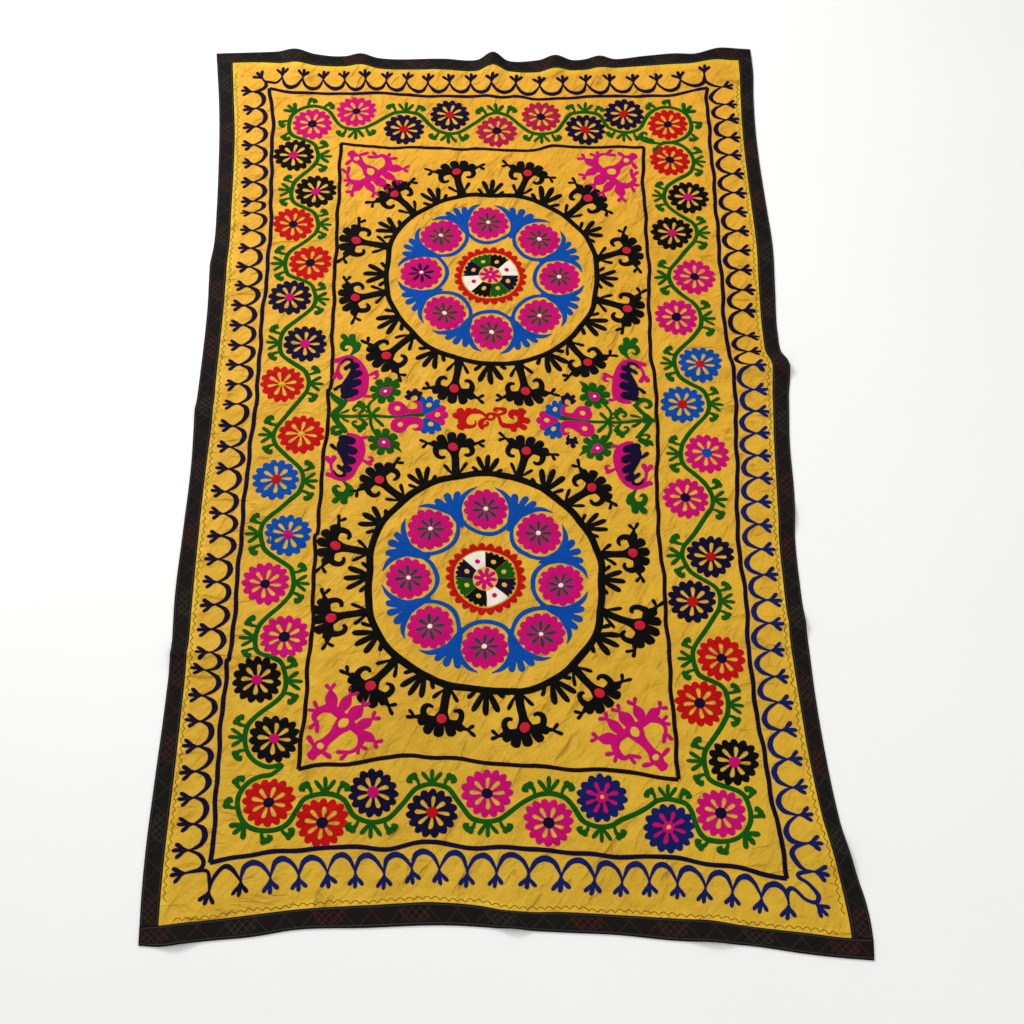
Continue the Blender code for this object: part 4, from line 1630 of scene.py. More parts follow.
@dataclass
class Medallion:
    """A ringed medallion: wheel, eight blooms held by blue palmettes, ring, and palmettes outside it."""

    name: str
    x: float
    y: float
    ring: Line  # millimetres from the middle
    ring_width: float
    blooms: Line  # millimetres from the middle, anticlockwise from the right
    palms: Sequence[tuple[float, float, float, float]]  # foot and dot, millimetres from the middle
    wheel: tuple[Thread, ...]  # clockwise from the upper left
    star: Thread
    left_star: Thread

    bloom_radius: float = 0.0500
    palm_height: float = 0.076
    bloom_gap: float = 0.128  # the usual distance between neighbouring blooms

    def build(self, hand: Embroiderer) -> None:
        """Works the medallion from the ring inward, then outward."""
        ring = Needlework().stroke(mm_path(*self.ring), [self.ring_width], closed=True, crown=0.0012)
        hand.work(self.name + "_ring", Thread.BLACK, ring.placed(self.x, self.y))
        spots = [self.facing_out(x, y) for x, y in self.blooms]
        hand.repeat(self.name + "_blue_crescents", Thread.BLUE, self.crescent(), spots, (0.02, 0.0), seed=21)
        between = [self.between(*pair) for pair in zip(self.blooms, self.blooms[1:] + self.blooms[:1])]
        leaves = self.blue_palmette()
        hand.repeat(self.name + "_blue_palmettes", Thread.BLUE, leaves, between, (0.03, 0.02), seed=22)
        petals = Needlework().disc(0, 0, self.bloom_radius, lobes=14, depth=0.14, cells=112)
        hand.repeat(self.name + "_blooms", Thread.PINK, petals, spots, (0.2, 0.015), seed=23)
        odd = self.left_star is not self.star
        starred = spots[:4] + spots[5:] if odd else spots
        hand.repeat(self.name + "_stars", self.star, self.rays(), starred, (0.2, 0.05), seed=24)
        if odd:
            left = self.rays().placed(spots[4].x, spots[4].y, 8)
            hand.work(self.name + "_left_star", self.left_star, left)
        dot = Needlework().disc(0, 0, 0.0052, lift=0.0026, cells=12)
        hand.repeat(self.name + "_white_dots", Thread.WHITE, dot, spots, (0.0, 0.1), seed=25)
        self.build_wheel(hand)
        outer = [self.standing(*palm) for palm in self.palms]
        hand.repeat(self.name + "_palmettes", Thread.BLACK, self.palmette(), outer, (0.02, 0.02), seed=26)
        dot = Needlework().disc(0, self.palm_height, 0.0108, lift=0.0018, cells=20)
        hand.repeat(self.name + "_palmette_dots", Thread.DOT_RED, dot, outer, (0.02, 0.02), seed=26)
        on_ring = self.sprig_spots()
        hand.repeat(self.name + "_sprigs", Thread.BLACK, self.sprig(), on_ring, (0.10, 0.08), seed=27)

    def facing_out(self, x: float, y: float) -> Spot:
        """A spot given in millimetres, turned so that its X points away from the medallion's middle."""
        return Spot(self.x + x * MM, self.y + y * MM, math.degrees(math.atan2(y, x)))

    def between(self, here: tuple[float, float], there: tuple[float, float]) -> Spot:
        """A spot midway between two blooms, with Y pointing out and X stretched to their distance."""
        run_x, run_y = (there[0] - here[0]) * MM, (there[1] - here[1]) * MM
        middle_x, middle_y = self.x + (here[0] + there[0]) / 2 * MM, self.y + (here[1] + there[1]) / 2 * MM
        turn = math.degrees(math.atan2(-run_y, -run_x))
        return Spot(middle_x, middle_y, turn, math.hypot(run_x, run_y) / self.bloom_gap)

    def standing(self, foot_x: float, foot_y: float, dot_x: float, dot_y: float) -> Spot:
        """A palmette's spot: at its foot, turned and stretched towards its dot."""
        run_x, run_y = (dot_x - foot_x) * MM, (dot_y - foot_y) * MM
        reach = math.hypot(run_x, run_y) / self.palm_height
        turn = math.degrees(math.atan2(run_y, run_x)) - 90
        return Spot(self.x + foot_x * MM, self.y + foot_y * MM, turn, 1.0, reach)

    def sprig_spots(self) -> list[Spot]:
        """Spots on the ring, midway between the palmettes' feet."""
        outline, _ = smooth_path(mm_path(*self.ring), 0.002, closed=True)
        angles = np.degrees(np.arctan2(outline[:, 1], outline[:, 0]))
        made = []
        for way in range(0, 360, 30):
            nearest = np.argmin(np.abs((angles - way + 180) % 360 - 180))
            x, y = outline[nearest]
            made.append(Spot(self.x + x, self.y + y, way - 90))
        return made

    @staticmethod
    def rays() -> Needlework:
        """Draws eight short rays round a bloom's middle."""
        work = Needlework()
        for i in range(8):
            way = math.radians(45 * i)
            x, y = math.sin(way), math.cos(way)
            work.club(7 * x, 7 * y, 30 * x, 30 * y, 7.8, lift=0.0018, crown=0.0006)
        return work

    @staticmethod
    def crescent() -> Needlework:
        """Draws the band that holds a bloom on the side of the medallion's middle."""
        arc = [(60.5 * math.cos(a), 60.5 * math.sin(a)) for a in np.radians(np.arange(104, 257, 19))]
        return Needlework().strand(arc, (8, 8.5, 9, 9.5, 10, 9.5, 9, 8.5, 8), step=4)

    @staticmethod
    def blue_palmette() -> Needlework:
        """Draws a five-fingered palmette between two blooms, whose outer leaves wrap round them."""
        half = Needlework()
        half.strand(((12, 26), (22, 40), (35, 50), (50, 57), (69, 59)), (12, 15, 12, 9, 1.5))
        half.club(8, 34, 27, 66, 15)
        work = both_sides(half).club(0, 34, 1, 71, 16)
        body = ((0, -26), (0, -14), (0, 0), (0, 14), (0, 27), (0, 40), (0, 48))
        return work.strand(body, (4, 12, 21, 27, 38, 50, 30))

    def build_wheel(self, hand: Embroiderer) -> None:
        """Works the middle: scalloped red ring, eight segments with dots, and a small flower."""
        ring = Needlework().disc(self.x, self.y, 0.0870, inner=0.0690, lobes=26, depth=0.125, cells=260)
        hand.work(self.name + "_red_ring", Thread.RED, ring)
        dots: dict[Thread, Needlework] = {Thread.YELLOW: Needlework(), Thread.PINK: Needlework()}
        segments: dict[Thread, Needlework] = {}
        for i, thread in enumerate(self.wheel):
            middle = 112.5 - 45 * i
            plain = thread is Thread.WHITE
            part = segments.setdefault(thread, Needlework())
            lobes, span = 0 if plain else 32, (middle - 21.8, middle + 21.8)
            part.disc(self.x, self.y, 0.0660, inner=0.026, lobes=lobes, depth=0.09, cells=24, span=span)
            way = math.radians(middle)
            dot_x, dot_y = self.x + 0.0435 * math.cos(way), self.y + 0.0435 * math.sin(way)
            dots[Thread.PINK if plain else Thread.YELLOW].disc(dot_x, dot_y, 0.0056, lift=0.0017, cells=14)
        for thread, part in segments.items():
            hand.work(f"{self.name}_wheel_{thread.name.lower()}", thread, part)
        for thread, part in dots.items():
            hand.work(f"{self.name}_wheel_dots_{thread.name.lower()}", thread, part)
        under = Needlework().disc(self.x, self.y, 0.0275, lift=0.0013, crown=0.0003, cells=32)
        hand.work(self.name + "_flower_ground", Thread.YELLOW, under)
        flower = Needlework().disc(0, 0, 0.006, lift=0.0020, cells=14)
        for i in range(8):
            way = math.radians(45 * i + 10)
            flower.club(0, 0, 26.5 * math.sin(way), 26.5 * math.cos(way), 10, lift=0.0016, crown=0.0006)
        hand.work(self.name + "_flower", Thread.PINK, flower.placed(self.x, self.y))
        heart = Needlework().disc(self.x, self.y, 0.0034, lift=0.0030, crown=0.0004, cells=12)
        hand.work(self.name + "_flower_heart", Thread.YELLOW, heart)

    @staticmethod
    def palmette() -> Needlework:
        """Draws a black palmette that stands on the ring, with Y pointing away from the medallion."""
        half = Needlework()
        volute = ((6, 80), (21, 82), (36, 77), (40, 65), (37, 55), (29, 51), (21, 54))
        half.strand(volute, (20, 18, 15, 13, 11, 9, 6), step=2.5)
        half.club(20, 82, 49, 90, 18)
        half.club(12, 80, 29, 110, 20.5)
        half.club(9, 10, 26, 34, 8.5)
        work = both_sides(half).club(0, 78, 1, 115, 21.5)
        stem = ((0, -4), (0, 15), (0, 38), (0, 58), (0, 74), (0, 86))
        work.strand(stem, (26, 18.5, 17, 19, 34, 36), step=4)
        for side, neck, fork, drop in ((-1, 90, 101, 78), (1, 83, 87, 69)):
            work.strand(((side * 30, 80), (side * 44, neck - 3), (side * 58, neck)), (18, 12, 5))
            work.club(side * 55, neck, side * 74, fork, 8)
            work.club(side * 56, neck, side * 69, drop, 8)
        return work

    @staticmethod
    def sprig() -> Needlework:
        """Draws three long rounded leaves and two leaflets that spring from the ring."""
        half = Needlework().club(2, 0, 26, 46, 13).club(17, 0, 36, 17, 9.5)
        return both_sides(half).club(0, 0, 0, 55, 13)


TOP_MEDALLION = Medallion(
    name="top_medallion",
    x=-0.003,
    y=0.409,
    ring=(
        (255, 0), (252, 52), (241, 100), (220, 140), (180, 187), (130, 222), (75, 244), (0, 249),
        (-65, 244), (-125, 225), (-180, 187), (-222, 135), (-242, 75), (-246, 0), (-240, -55),
        (-225, -105), (-192, -157), (-145, -205), (-85, -237), (-25, -252), (35, -253), (90, -244),
        (140, -217), (185, -180), (222, -130), (245, -70),
    ),
    ring_width=0.0125,
    blooms=(
        (166, -4), (117, 112), (-5, 162), (-117, 117), (-165, 5), (-106, -111), (2, -166), (116, -119)
    ),
    palms=(
        (-69, 249, -83.5, 320), (69, 246, 91, 320), (182, 182, 239, 239), (253, 58, 327, 80),
        (248, -66, 321, -95), (180, -187, 225, -249), (66, -252, 81, -330), (-69, -245, -82.5, -326),
        (-177, -177, -238, -235), (-242, -52, -318.5, -73.5), (-243, 82, -321, 101.5),
        (-185, 185, -235, 245),
    ),
    wheel=(Thread.GREEN, Thread.BLACK, Thread.WHITE, Thread.NAVY) * 2,
    star=Thread.STAR,
    left_star=Thread.NAVY,
)
BOTTOM_MEDALLION = Medallion(
    name="bottom_medallion",
    x=-0.0125,
    y=-0.4025,
    ring=(
        (247, 0), (244, 50), (227, 105), (200, 152), (162, 192), (112, 230), (60, 252), (0, 260),
        (-55, 256), (-115, 238), (-167, 202), (-210, 157), (-237, 105), (-248, 50), (-249, -15),
        (-244, -75), (-225, -132), (-187, -183), (-135, -222), (-75, -247), (-5, -259), (60, -261),
        (115, -248), (167, -216), (207, -170), (233, -120), (245, -63),
    ),
    ring_width=0.0155,
    blooms=(
        (161, -14), (114, 110), (0, 170), (-121, 120), (-165, 0), (-115, -117), (-1, -162), (116, -129)
    ),
    palms=(
        (-65, 254, -72.5, 329), (68, 250, 91, 324), (173, 182, 232.5, 228.5), (243, 56, 316, 65),
        (244, -75, 322.5, -111), (180, -206, 235, -264), (66, -261, 80, -341), (-75, -248, -89, -324),
        (-186, -187, -234, -251), (-243, -82, -326, -96), (-247, 60, -322, 77.5), (-180, 190, -235, 244),
    ),
    wheel=(Thread.WHITE, Thread.BLACK, Thread.GREEN, Thread.NAVY) * 2,
    star=Thread.TEAL,
    left_star=Thread.TEAL,
)


@dataclass
class CornerSprays:
    """Four magenta sprays in the corners of the field, each pointing to its corner."""

    UPPER = (Spot(-0.2965, 0.725, 40.0), Spot(0.297, 0.7365, -46.0, 1.05))
    LOWER = (Spot(-0.2985, -0.734, 139.0), Spot(0.2895, -0.749, -143.5))

    def build(self, hand: Embroiderer) -> None:
        """Works the sprays and their dots, the lower ones on longer necks."""
        for name, spots, neck, drop in (("upper", self.UPPER, 55, -8), ("lower", self.LOWER, 70, 0)):
            spray = self.spray(neck, drop)
            hand.repeat(f"{name}_corner_sprays", Thread.PINK, spray, spots, (0.01, 0.01), seed=31)
            dots = Needlework().disc(-0.001, neck * MM, 0.0070, lift=0.0018, cells=16)
            drop_shape = ((0, -9), (0, -4), (1, 2), (1, 8), (0, 14))
            dots.strand(drop_shape, (4, 15, 18.5, 16, 4), step=2, lift=0.0018)
            hand.repeat(f"{name}_spray_dots", Thread.YELLOW, dots, spots, (0.01, 0.01), seed=31)

    @staticmethod
    def spray(neck: float, drop: float) -> Needlework:
        """Draws one spray about its large dot, with Y pointing to the field's corner.

        Args:
            neck: Where the small dot stands, in millimetres.
            drop: How far the body and its petals are moved along Y, in millimetres.

        Returns:
            The spray's needlework.
        """
        work = Needlework()
        stem = (
            (0, drop - 10), (0, 2), (0, 18), (-1, neck * 0.45), (-1, neck - 16), (-1, neck),
            (-1, neck + 24),
        )
        work.strand(stem, (34, 38, 27, 19, 18, 27, 17))
        work.club(-1, neck + 8, -1, neck + 34, 21)
        work.club(-8, neck + 7, -34, neck + 1, 11).club(8, neck + 8, 34, neck - 1, 11)
        places = (-58, -8), (-40, -5), (-20, -5), (0, -7), (20, -5), (40, -4), (56, -8)
        body = [(x, drop + y) for x, y in places]
        work.strand(body, (16, 18, 18, 20, 18, 18, 18))
        left_arm = ((-44, drop - 2), (-54, drop + 9), (-58, drop + 22), (-54, drop + 34), (-48, drop + 41))
        work.strand(left_arm, (18, 14, 10, 8, 7))
        work.club(-49, drop + 38, -49, drop + 62, 9).club(-49, drop + 38, -30, drop + 56, 9)
        work.club(-57, drop + 17, -70, drop + 32, 8.5).club(-57, drop + 17, -77, drop + 11, 8.5)
        right_arm = ((44, drop - 2), (54, drop + 9), (58, drop + 24), (53, drop + 36), (42, drop + 37))
        work.strand(right_arm, (20, 16, 14, 11, 6))
        work.club(43, drop + 35, 23, drop + 54, 9).club(43, drop + 35, 42, drop + 59, 9)
        work.club(59, drop + 18, 76, drop + 31, 8).club(59, drop + 18, 80, drop + 6, 9)
        for x, y, tip_x, tip_y, width in (
            (-40, -6, -74, -10, 21), (-27, -10, -35, -44, 23), (-1, -12, 0, -52, 28),
            (25, -10, 31, -53, 21), (42, -6, 69, -32, 25),
        ):
            CornerSprays.forked_petal(work, np.array([x, y + drop]), np.array([tip_x, tip_y + drop]), width)
        return work

    @staticmethod
    def forked_petal(work: Needlework, root: np.ndarray, tip: np.ndarray, width: float) -> None:
        """Draws a full petal that narrows to a neck and ends in two fingers, in millimetres."""
        points = [tuple(root + (tip - root) * share) for share in (0, 0.3, 0.58, 0.84, 1.0)]
        work.strand(points, (width * 0.7, width * 0.96, width, width * 0.55, 5))
        way = math.degrees(math.atan2(tip[0] - root[0], tip[1] - root[1]))
        for turn in (-36, 36):
            reach = math.radians(way + turn)
            work.club(tip[0], tip[1], tip[0] + 18 * math.sin(reach), tip[1] + 18 * math.cos(reach), 9.2)


@dataclass
class MiddleBand:
    """The band between the medallions: a red scroll, two flowering shrubs and four crescent birds."""

    def build(self, hand: Embroiderer) -> None:
        """Works the scroll, then each shrub and each bird by thread."""
        hand.work("red_scroll", Thread.RED, self.scroll())
        for thread, work in self.shrub(pointed=True).items():
            hand.work(f"left_shrub_{thread.name.lower()}", thread, work.placed(-0.366, 0.008))
        for thread, work in self.shrub(pointed=False).items():
            spread = work.shifted((0.0, 0.05, 0.16, 0.24), (0.0, 0.012, 0.012, 0.003))
            facing = spread.placed(0.3725, 0.0, mirror_x=True)
            hand.work(f"right_shrub_{thread.name.lower()}", thread, facing)
        birds = (
            (-0.298, 0.0130, False, True), (-0.300, -0.0030, False, False),
            (0.2925, 0.0130, True, True), (0.2905, -0.0185, True, False),
        )
        for thread, work in self.bird().items():
            flock = [work.placed(x, y, mirror_x=mx, mirror_y=my) for x, y, mx, my in birds]
            hand.work(f"birds_{thread.name.lower()}", thread, *flock)

    @staticmethod
    def scroll() -> Needlework:
        """Draws the red scroll: a small ring with a lobed curl at each side and two little curls."""
        work = Needlework().disc(-0.0035, 0.009, 0.0115, inner=0.0050, cells=28)
        work.strand(
            (
                (-13, 9), (-21, 18), (-33, 24), (-48, 24), (-61, 14), (-66, 0), (-62, -12), (-50, -16),
                (-40, -14), (-36, -7), (-37, 1),
            ),
            (6, 7, 12, 14, 18, 19, 17, 11, 9, 5, 2),
        )
        work.clubs(
            (-38, 20, -38, 33, 12), (-50, 20, -54, 34, 13), (-58, 12, -76, 30, 17),
            (-60, 6, -87, 13, 16), (-60, -6, -73, -25, 19),
        )
        work.strand(((-13, 4), (-22, -1), (-25, -8), (-22, -17), (-17, -23)), (5, 12, 13, 10, 7), step=2.5)
        work.strand(((-17, -13), (-11, -14), (-8, -9), (-11, -5), (-14, -6)), (9, 8, 6, 4, 2), step=2.5)
        work.strand(
            (
                (0, 19), (10, 14), (16, 5), (19, -4), (26, -14), (38, -16), (50, -16), (62, -9), (65, 3),
                (62, 15), (50, 20), (41, 16), (44, 8), (50, 3),
            ),
            (5, 8, 7, 8, 11, 12, 14, 15, 14, 17, 15, 13, 8, 2),
        )
        work.clubs(
            (28, -8, 29, -22, 11), (48, -12, 52, -31, 14), (58, -8, 79, -23, 14),
            (62, 4, 87, -4, 16), (60, 10, 70, 30, 20), (50, 14, 38, 25, 17),
        )
        curl = ((7, 14), (18, 15), (27, 21), (27, 29), (19, 30), (9, 31), (6, 26), (13, 22))
        return work.strand(curl, (4, 6, 9, 11, 9, 9, 8, 2), step=2.5)

    @staticmethod
    def shrub(pointed: bool) -> dict[Thread, Needlework]:
        """Draws a shrub that grows along +X from the field's frame, by thread.

        Args:
            pointed: Whether its upper side leaf is a pointed one, as at the left.

        Returns:
            Needlework for each thread.
        """
        green = Needlework()
        stem = ((0, 2), (26, 1), (66, -1), (98, -2), (136, -1), (166, 1), (186, 4), (202, 7), (216, 5))
        green.strand(stem, (8, 9, 8, 8, 7, 7, 10, 15, 8), step=4)
        thick = 1.0 if pointed else 0.62
        root = ((2, 3), (12, 3), (24, 3))
        green.strand(root, (8, 24 * thick, 34 * thick))
        for side, foot in ((1, 6), (-1, 0)):
            branch = ((10, foot), (21, side * 19), (31, side * 33), (39, side * 46))
            green.strand(branch, (14 * thick + 1, 13 * thick + 1, 12 * thick + 1, 9))
        if pointed:
            green.strand(((30, 34), (18, 44), (8, 54), (1, 66)), (16, 18, 12, 2))
            curl = ((30, -32), (27, -42), (17, -47), (10, -42), (9, -34), (17, -30), (21, -34))
            green.strand(curl, (9, 13, 14, 10, 11, 9, 3), step=2.5).club(12, -44, 4, -48, 8)
        else:
            curl = ((35, 41), (31, 51), (23, 58), (12, 54), (9, 43), (14, 36), (20, 39))
            green.strand(curl, (8, 10, 12, 10, 8, 8, 3), step=2.5).club(24, 54, 30, 64, 8)
            hook = ((35, -44), (28, -38), (18, -37), (16, -44), (21, -48))
            green.strand(hook, (5, 5, 6, 6, 2), step=2.5)
            green.strand(((35, -48), (26, -54), (16, -57), (9, -65)), (10, 14, 13, 3), step=2.5)
            green.club(24, -52, 19, -67, 10)
        green.club(26, 8, 47, 18, 7).club(26, -2, 46, -16, 7)
        curl = ((68, 4), (77, 12), (78, 21), (70, 28), (61, 27), (55, 19), (60, 14), (64, 18))
        green.strand(curl, (5, 9, 12, 12, 9, 7, 6, 3))
        green.club(69, 26, 67, 40, 12).club(76, 20, 87, 23, 10).club(72, 24, 80, 34, 9)
        curl = ((68, -6), (77, -15), (78, -25), (69, -32), (59, -28), (53, -19), (58, -14), (63, -18))
        green.strand(curl, (5, 9, 12, 12, 9, 7, 6, 3))
        green.club(70, -29, 69, -45, 12).club(76, -23, 87, -27, 10).club(73, -27, 81, -38, 9)
        green.disc(0.097, 0.001, 0.0070, cells=18)
        green.club(98, 2, 116, 23, 9.5).club(98, -4, 124, -29, 9)
        green.club(94, 4, 82, 12, 5).club(94, -4, 83, -14, 5)
        green.strand(((95, 2), (90, 20), (96, 37), (112, 54)), (7, 7, 6.5, 6))
        green.strand(((95, -2), (93, -21), (99, -38), (111, -56)), (7, 7.5, 7, 6))
        pink, blue, navy, yellow, white = (Needlework() for _ in range(5))
        for x, y, leaf_x, leaf_y in ((124, 68, 159, 108), (124, -68, 165, -93)):
            for i in range(8):
                way = math.radians(45 * i + 12)
                away_x, away_y = math.sin(way), math.cos(way)
                green.club(x + 8 * away_x, y + 8 * away_y, x + 36 * away_x, y + 36 * away_y, 17.5)
            green.disc(x * MM, y * MM, 0.0215, cells=24)
            root, bend = (x + 10, y + math.copysign(10, y)), ((x + leaf_x) / 2 + 4, (y + leaf_y) / 2 + 2)
            green.strand((root, bend, (leaf_x, leaf_y)), (14, 13, 1.5))
            y -= 4
            heart = ((x - 6, y - math.copysign(6, y)), (x + 2, y), (x + 14, y + math.copysign(12, y)))
            pink.disc((x - 1) * MM, y * MM, 0.0115, lift=0.0016, cells=20)
            pink.strand(heart, (16, 22, 4), step=2.5, lift=0.0017)
            white.disc(x * MM, y * MM, 0.0036, lift=0.0034, crown=0.0004, cells=12)
        short = 0 if pointed else 10
        pink.strand(
            ((136, 21), (153, 21), (176, 11), (193, 11), (205, 19), (205, 34), (197, 41), (187, 40)),
            (24, 38, 22, 18, 18, 16, 10, 3),
        )
        lower = (
            (141 - short, -21), (158 - short, -22), (180, -12), (200, -11), (210, -20), (207, -32),
            (196, -36), (189, -33),
        )
        pink.strand(lower, (24, 37, 24, 20, 16, 12, 7, 3))
        pink.disc(0.154, 0.0195, 0.0205, cells=28).disc((159 - short) * MM, -0.0225, 0.0200, cells=28)
        for tip_x, tip_y in ((262, 23), (270, 2), (262, -20)):
            pink.club(222, 2, tip_x, tip_y, 20)
        pink.club(218, 4, 256, 3, 30)
        for x, y, tips in (
            (216, 6, ((206, 56), (227, 55), (246, 44), (250, 28))),
            (218, -6, ((214, -47), (234, -48), (252, -38), (253, -23))),
        ):
            for tip_x, tip_y in tips:
                blue.club(x, y, tip_x, tip_y, 16)
            middle = np.mean(np.array(tips), axis=0)
            blue.club(x, y, (x + middle[0] * 2) / 3, (y + middle[1] * 2.3) / 3, 30)
        curl = ((194, 39), (202, 47), (202, 59), (193, 66), (182, 61), (177, 51), (183, 47))
        navy.strand(curl, (5, 8, 11, 14, 13, 11, 5), step=2.5)
        navy.clubs(
            (192, 64, 190, 78, 10.5), (183, 62, 171, 69, 10.5), (199, 60, 208, 67, 9), (179, 54, 168, 54, 8)
        )
        if not pointed:
            curl = ((190, -40), (193, -49), (184, -56), (175, -51), (175, -44))
            navy.strand(curl, (5, 9, 15, 11, 5), step=2.5)
            navy.club(188, -53, 197, -64, 10).club(183, -55, 179, -74, 12).club(176, -52, 169, -63, 9)
        for x, y in ((155, 19.5), (162 - short, -22), (224, 30), (231, -22), (246, 2)):
            yellow.disc(x * MM, y * MM, 0.0064, lift=0.0022, cells=16)
        threads = (Thread.GREEN, Thread.BLUE, Thread.PINK, Thread.NAVY, Thread.YELLOW, Thread.WHITE)
        return dict(zip(threads, (green, blue, pink, navy, yellow, white)))

    @staticmethod
    def bird() -> dict[Thread, Needlework]:
        """Draws the lower left bird, head down, by thread, with the green curl under it."""
        belly = (
            (-26, -37), (-14, -42), (-4, -56), (-3, -75), (-3, -95), (-5, -110), (-8, -130), (-14, -146),
            (-28, -155), (-46, -150), (-64, -142),
        )
        pink = Needlework().strand(belly, (4, 14, 34, 43, 42, 39, 29, 20, 14, 11, 8))
        neck = ((-42, -150), (-50, -137), (-54, -124), (-55, -110))
        pink.strand(neck, (12, 8, 7, 9))
        pink.club(-55, -114, -67, -94, 12.5).club(-55, -114, -46, -93, 12.5).club(-46, -149, -66, -141, 12)
        pink.club(14, -106, 38, -118, 10).club(4, -49, 26, -46, 9)
        pink.strand(((28, -113), (36, -106), (33, -98), (26, -99)), (8, 9, 7, 3), step=2.5)
        back = ((-28, -42), (-31, -62), (-30, -80), (-27, -96), (-23, -112), (-20, -124), (-24, -150))
        lift = 0.0019
        navy = Needlework().strand(back, (14, 24, 24, 17, 12, 10, 7), lift=lift)
        navy.clubs(
            (-42, -46, -3, -62, 20), (-40, -69, 1, -90, 21), (-32, -95, -1, -117, 19),
            (-28, -123, -7, -138, 16), lift=lift,
        )
        navy.strand(((-22, -146), (-31, -149), (-40, -145), (-48, -133)), (9, 7, 6, 3), lift=lift)
        navy.club(-24, -137, -41, -119, 9, lift=lift).club(-42, -80, -59, -63, 9, lift=0.0014)
        stem = ((-27, -161), (-20, -170), (-14, -180), (-15, -192))
        green = Needlework().strand(stem, (4, 9, 18, 23))
        curl = ((-16, -194), (-28, -198), (-41, -194), (-47, -183), (-41, -174), (-33, -178))
        green.strand(curl, (20, 18, 14, 12, 8, 3))
        green.club(-22, -196, -23, -221, 16).club(-28, -196, -47, -219, 15).club(-18, -188, -3, -194, 17)
        return {Thread.PINK: pink, Thread.NAVY: navy, Thread.GREEN: green}


@dataclass
class EdgeStitching:
    """A line of brown zigzag stitches inside the tape, where the hem is sewn down."""

    cloth: Cloth
    inset: float = 0.0075
    pitch: float = 0.0165
    swing: float = 0.0060

    # First and last share of each side's length
    REACHES = {"left": (0.02, 0.985), "bottom": (0.02, 0.98), "right": (0.02, 0.97)}

    def build(self, hand: Embroiderer) -> None:
        """Works the zigzag along the left, bottom and right sides."""
        half = self.swing / 2
        path = [(0, -half), (self.pitch / 2, half), (self.pitch, -half)]
        motif = Needlework().stroke(path, [0.0014], spacing=0.004, lift=0.0003, crown=0.0004)
        spots = [spot for side, reach in self.REACHES.items() for spot in self.run(side, *reach)]
        hand.repeat("hem_zigzag", Thread.BROWN, motif, spots, (0.10, 0.02), seed=41)

    def run(self, side: str, start: float, end: float) -> list[Spot]:
        """Spaces stitches inside one side's tape between two shares of its length."""
        upright = side in ("left", "right")
        count = int(self.cloth.rough_size[upright] * (end - start) / self.pitch)
        share = np.linspace(start, end, count + 1)
        ends = {"left": 0.0, "right": 1.0, "bottom": 0.0}
        fixed = np.full(count + 1, ends[side])
        x, y = self.cloth.lay_out(fixed, share) if upright else self.cloth.lay_out(share, fixed)
        x = x + {"left": self.inset, "right": -self.inset, "bottom": 0.0}[side]
        y = y + (self.inset if side == "bottom" else 0.0)
        run_x, run_y = np.diff(x), np.diff(y)
        turn = np.degrees(np.arctan2(run_y, run_x))
        stretch = np.hypot(run_x, run_y) / self.pitch
        return [Spot(*row) for row in zip(x[:-1], y[:-1], turn, stretch, np.ones(count))]


# The studio


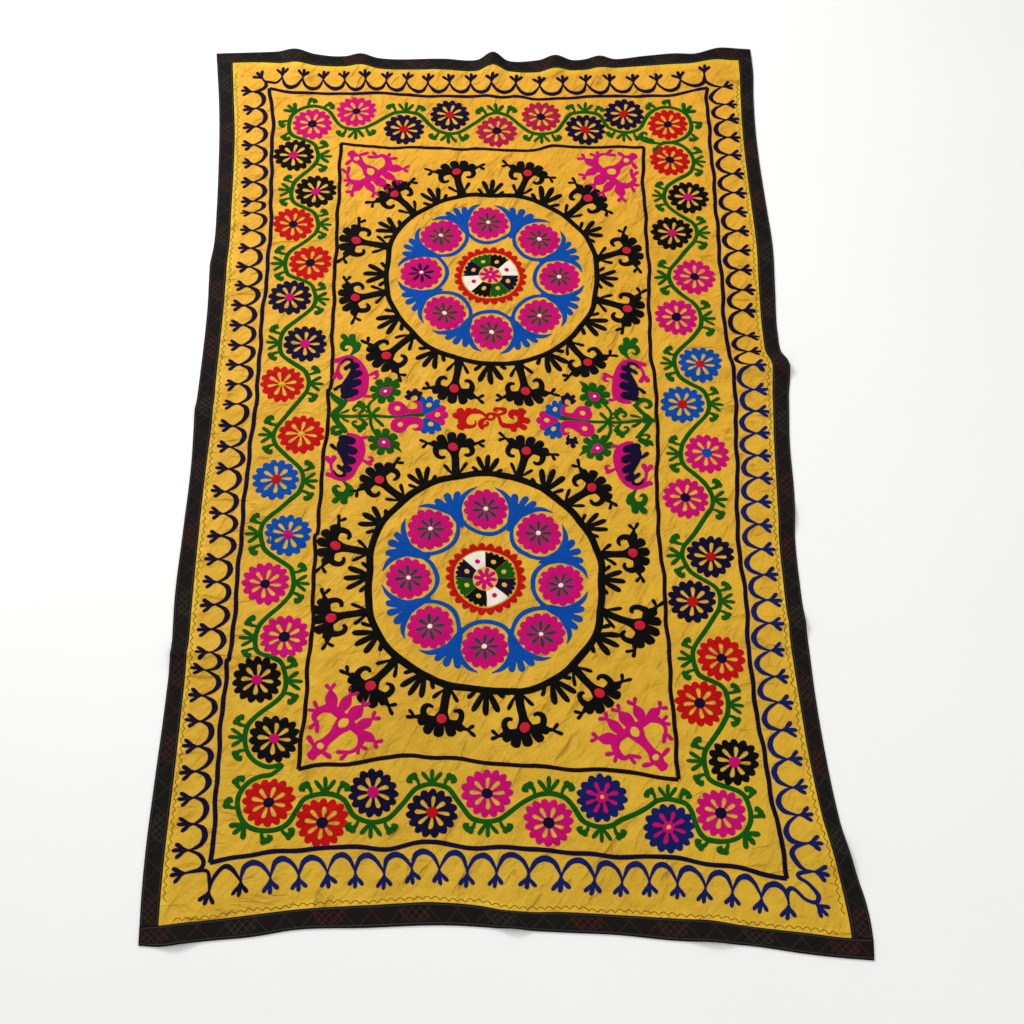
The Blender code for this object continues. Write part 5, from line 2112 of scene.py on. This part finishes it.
@dataclass
class Studio:
    """Pale floor, soft light and a camera that looks down at the cloth from its foot."""

    cloth: Cloth
    eye: tuple[float, float, float] = (-0.0588, -2.0344, 3.1195)
    look_down: float = math.radians(60.01)
    heading: float = math.radians(3.287)
    roll: float = math.radians(3.348)
    focal: float = 58.0
    sky: float = 0.65
    floor_half: float = 9.0
    floor_tones: tuple[str, str] = ("#F2F2F1", "#F7F7F6")

    # Name, place, size in metres and power in watts
    LAMPS = (("key_softbox", (-1.7, 2.2, 2.3), 1.3, 80.0), ("fill_softbox", (1.6, -1.6, 3.4), 2.4, 22.0))

    def build(self) -> None:
        """Sets the floor, the lights and the camera."""
        self.floor()
        self.lights()
        self.camera()

    def floor(self) -> None:
        """Lays a large pale floor under the cloth."""
        mesh = bpy.data.meshes.new("floor")
        half = self.floor_half
        corners = [(-half, -half, 0), (half, -half, 0), (half, half, 0), (-half, half, 0)]
        mesh.from_pydata(corners, [], [(0, 1, 2, 3)])
        canvas = Canvas.start("pale_studio_floor")
        place = add_node(canvas.tree, "ShaderNodeTexCoord").outputs["Object"]
        tone = blend(canvas.tree, noise(canvas.tree, place, 1.5, 3.0), *self.floor_tones)
        mesh.materials.append(canvas.finish(tone, roughness=0.9, specular=0.1))
        link("floor", mesh)

    def lights(self) -> None:
        """Hangs one large soft light to the upper left and fills from the sky."""
        world = bpy.data.worlds.new("studio_sky")
        bpy.context.scene.world = world
        world.use_nodes = True
        sky = world.node_tree.nodes["Background"]
        sky.inputs["Color"].default_value = linear("#FFFFFF")
        sky.inputs["Strength"].default_value = self.sky
        for name, place, size, power in self.LAMPS:
            light = bpy.data.lights.new(name, "AREA")
            light.size = size
            light.energy = power
            lamp = bpy.data.objects.new(name, light)
            lamp.location = place
            lamp.rotation_mode = "QUATERNION"
            lamp.rotation_quaternion = (-Vector(place)).to_track_quat("-Z", "Y")
            bpy.context.scene.collection.objects.link(lamp)
        bpy.context.scene.view_settings.view_transform = "Standard"

    def camera(self) -> None:
        """Places the camera at the photograph's angle."""
        down, heading = self.look_down, self.heading
        ahead = Vector(
            (math.sin(heading) * math.cos(down), math.cos(heading) * math.cos(down), -math.sin(down))
        )
        level = Vector((math.cos(heading), -math.sin(heading), 0.0))
        above = level.cross(ahead)
        right = level * math.cos(self.roll) + above * math.sin(self.roll)
        up = above * math.cos(self.roll) - level * math.sin(self.roll)
        data = bpy.data.cameras.new("camera")
        data.lens = self.focal
        data.sensor_width = 36.0
        data.clip_end = 50.0
        camera = bpy.data.objects.new("camera", data)
        turn = Matrix((right, up, -ahead)).transposed()
        camera.matrix_world = Matrix.Translation(
            (self.eye[0] - self.cloth.middle[0], self.eye[1] - self.cloth.middle[1], self.eye[2])
        ) @ turn.to_4x4()
        bpy.context.scene.collection.objects.link(camera)
        bpy.context.scene.camera = camera


def main() -> None:
    """Builds the whole scene in order."""
    logging.basicConfig(level=logging.INFO, format="%(name)s: %(message)s")
    cloth = Cloth()
    Studio(cloth).build()
    hand = Embroiderer(cloth)
    FrameLines().build(hand)
    ScallopEdging().build(hand)
    BloomBorder().build(hand)
    TOP_MEDALLION.build(hand)
    BOTTOM_MEDALLION.build(hand)
    CornerSprays().build(hand)
    MiddleBand().build(hand)
    EdgeStitching(cloth).build(hand)
    EdgeTape(cloth).build()
    GroundSatin(cloth).build(hand.pieces)


if __name__ == "__main__":
    main()
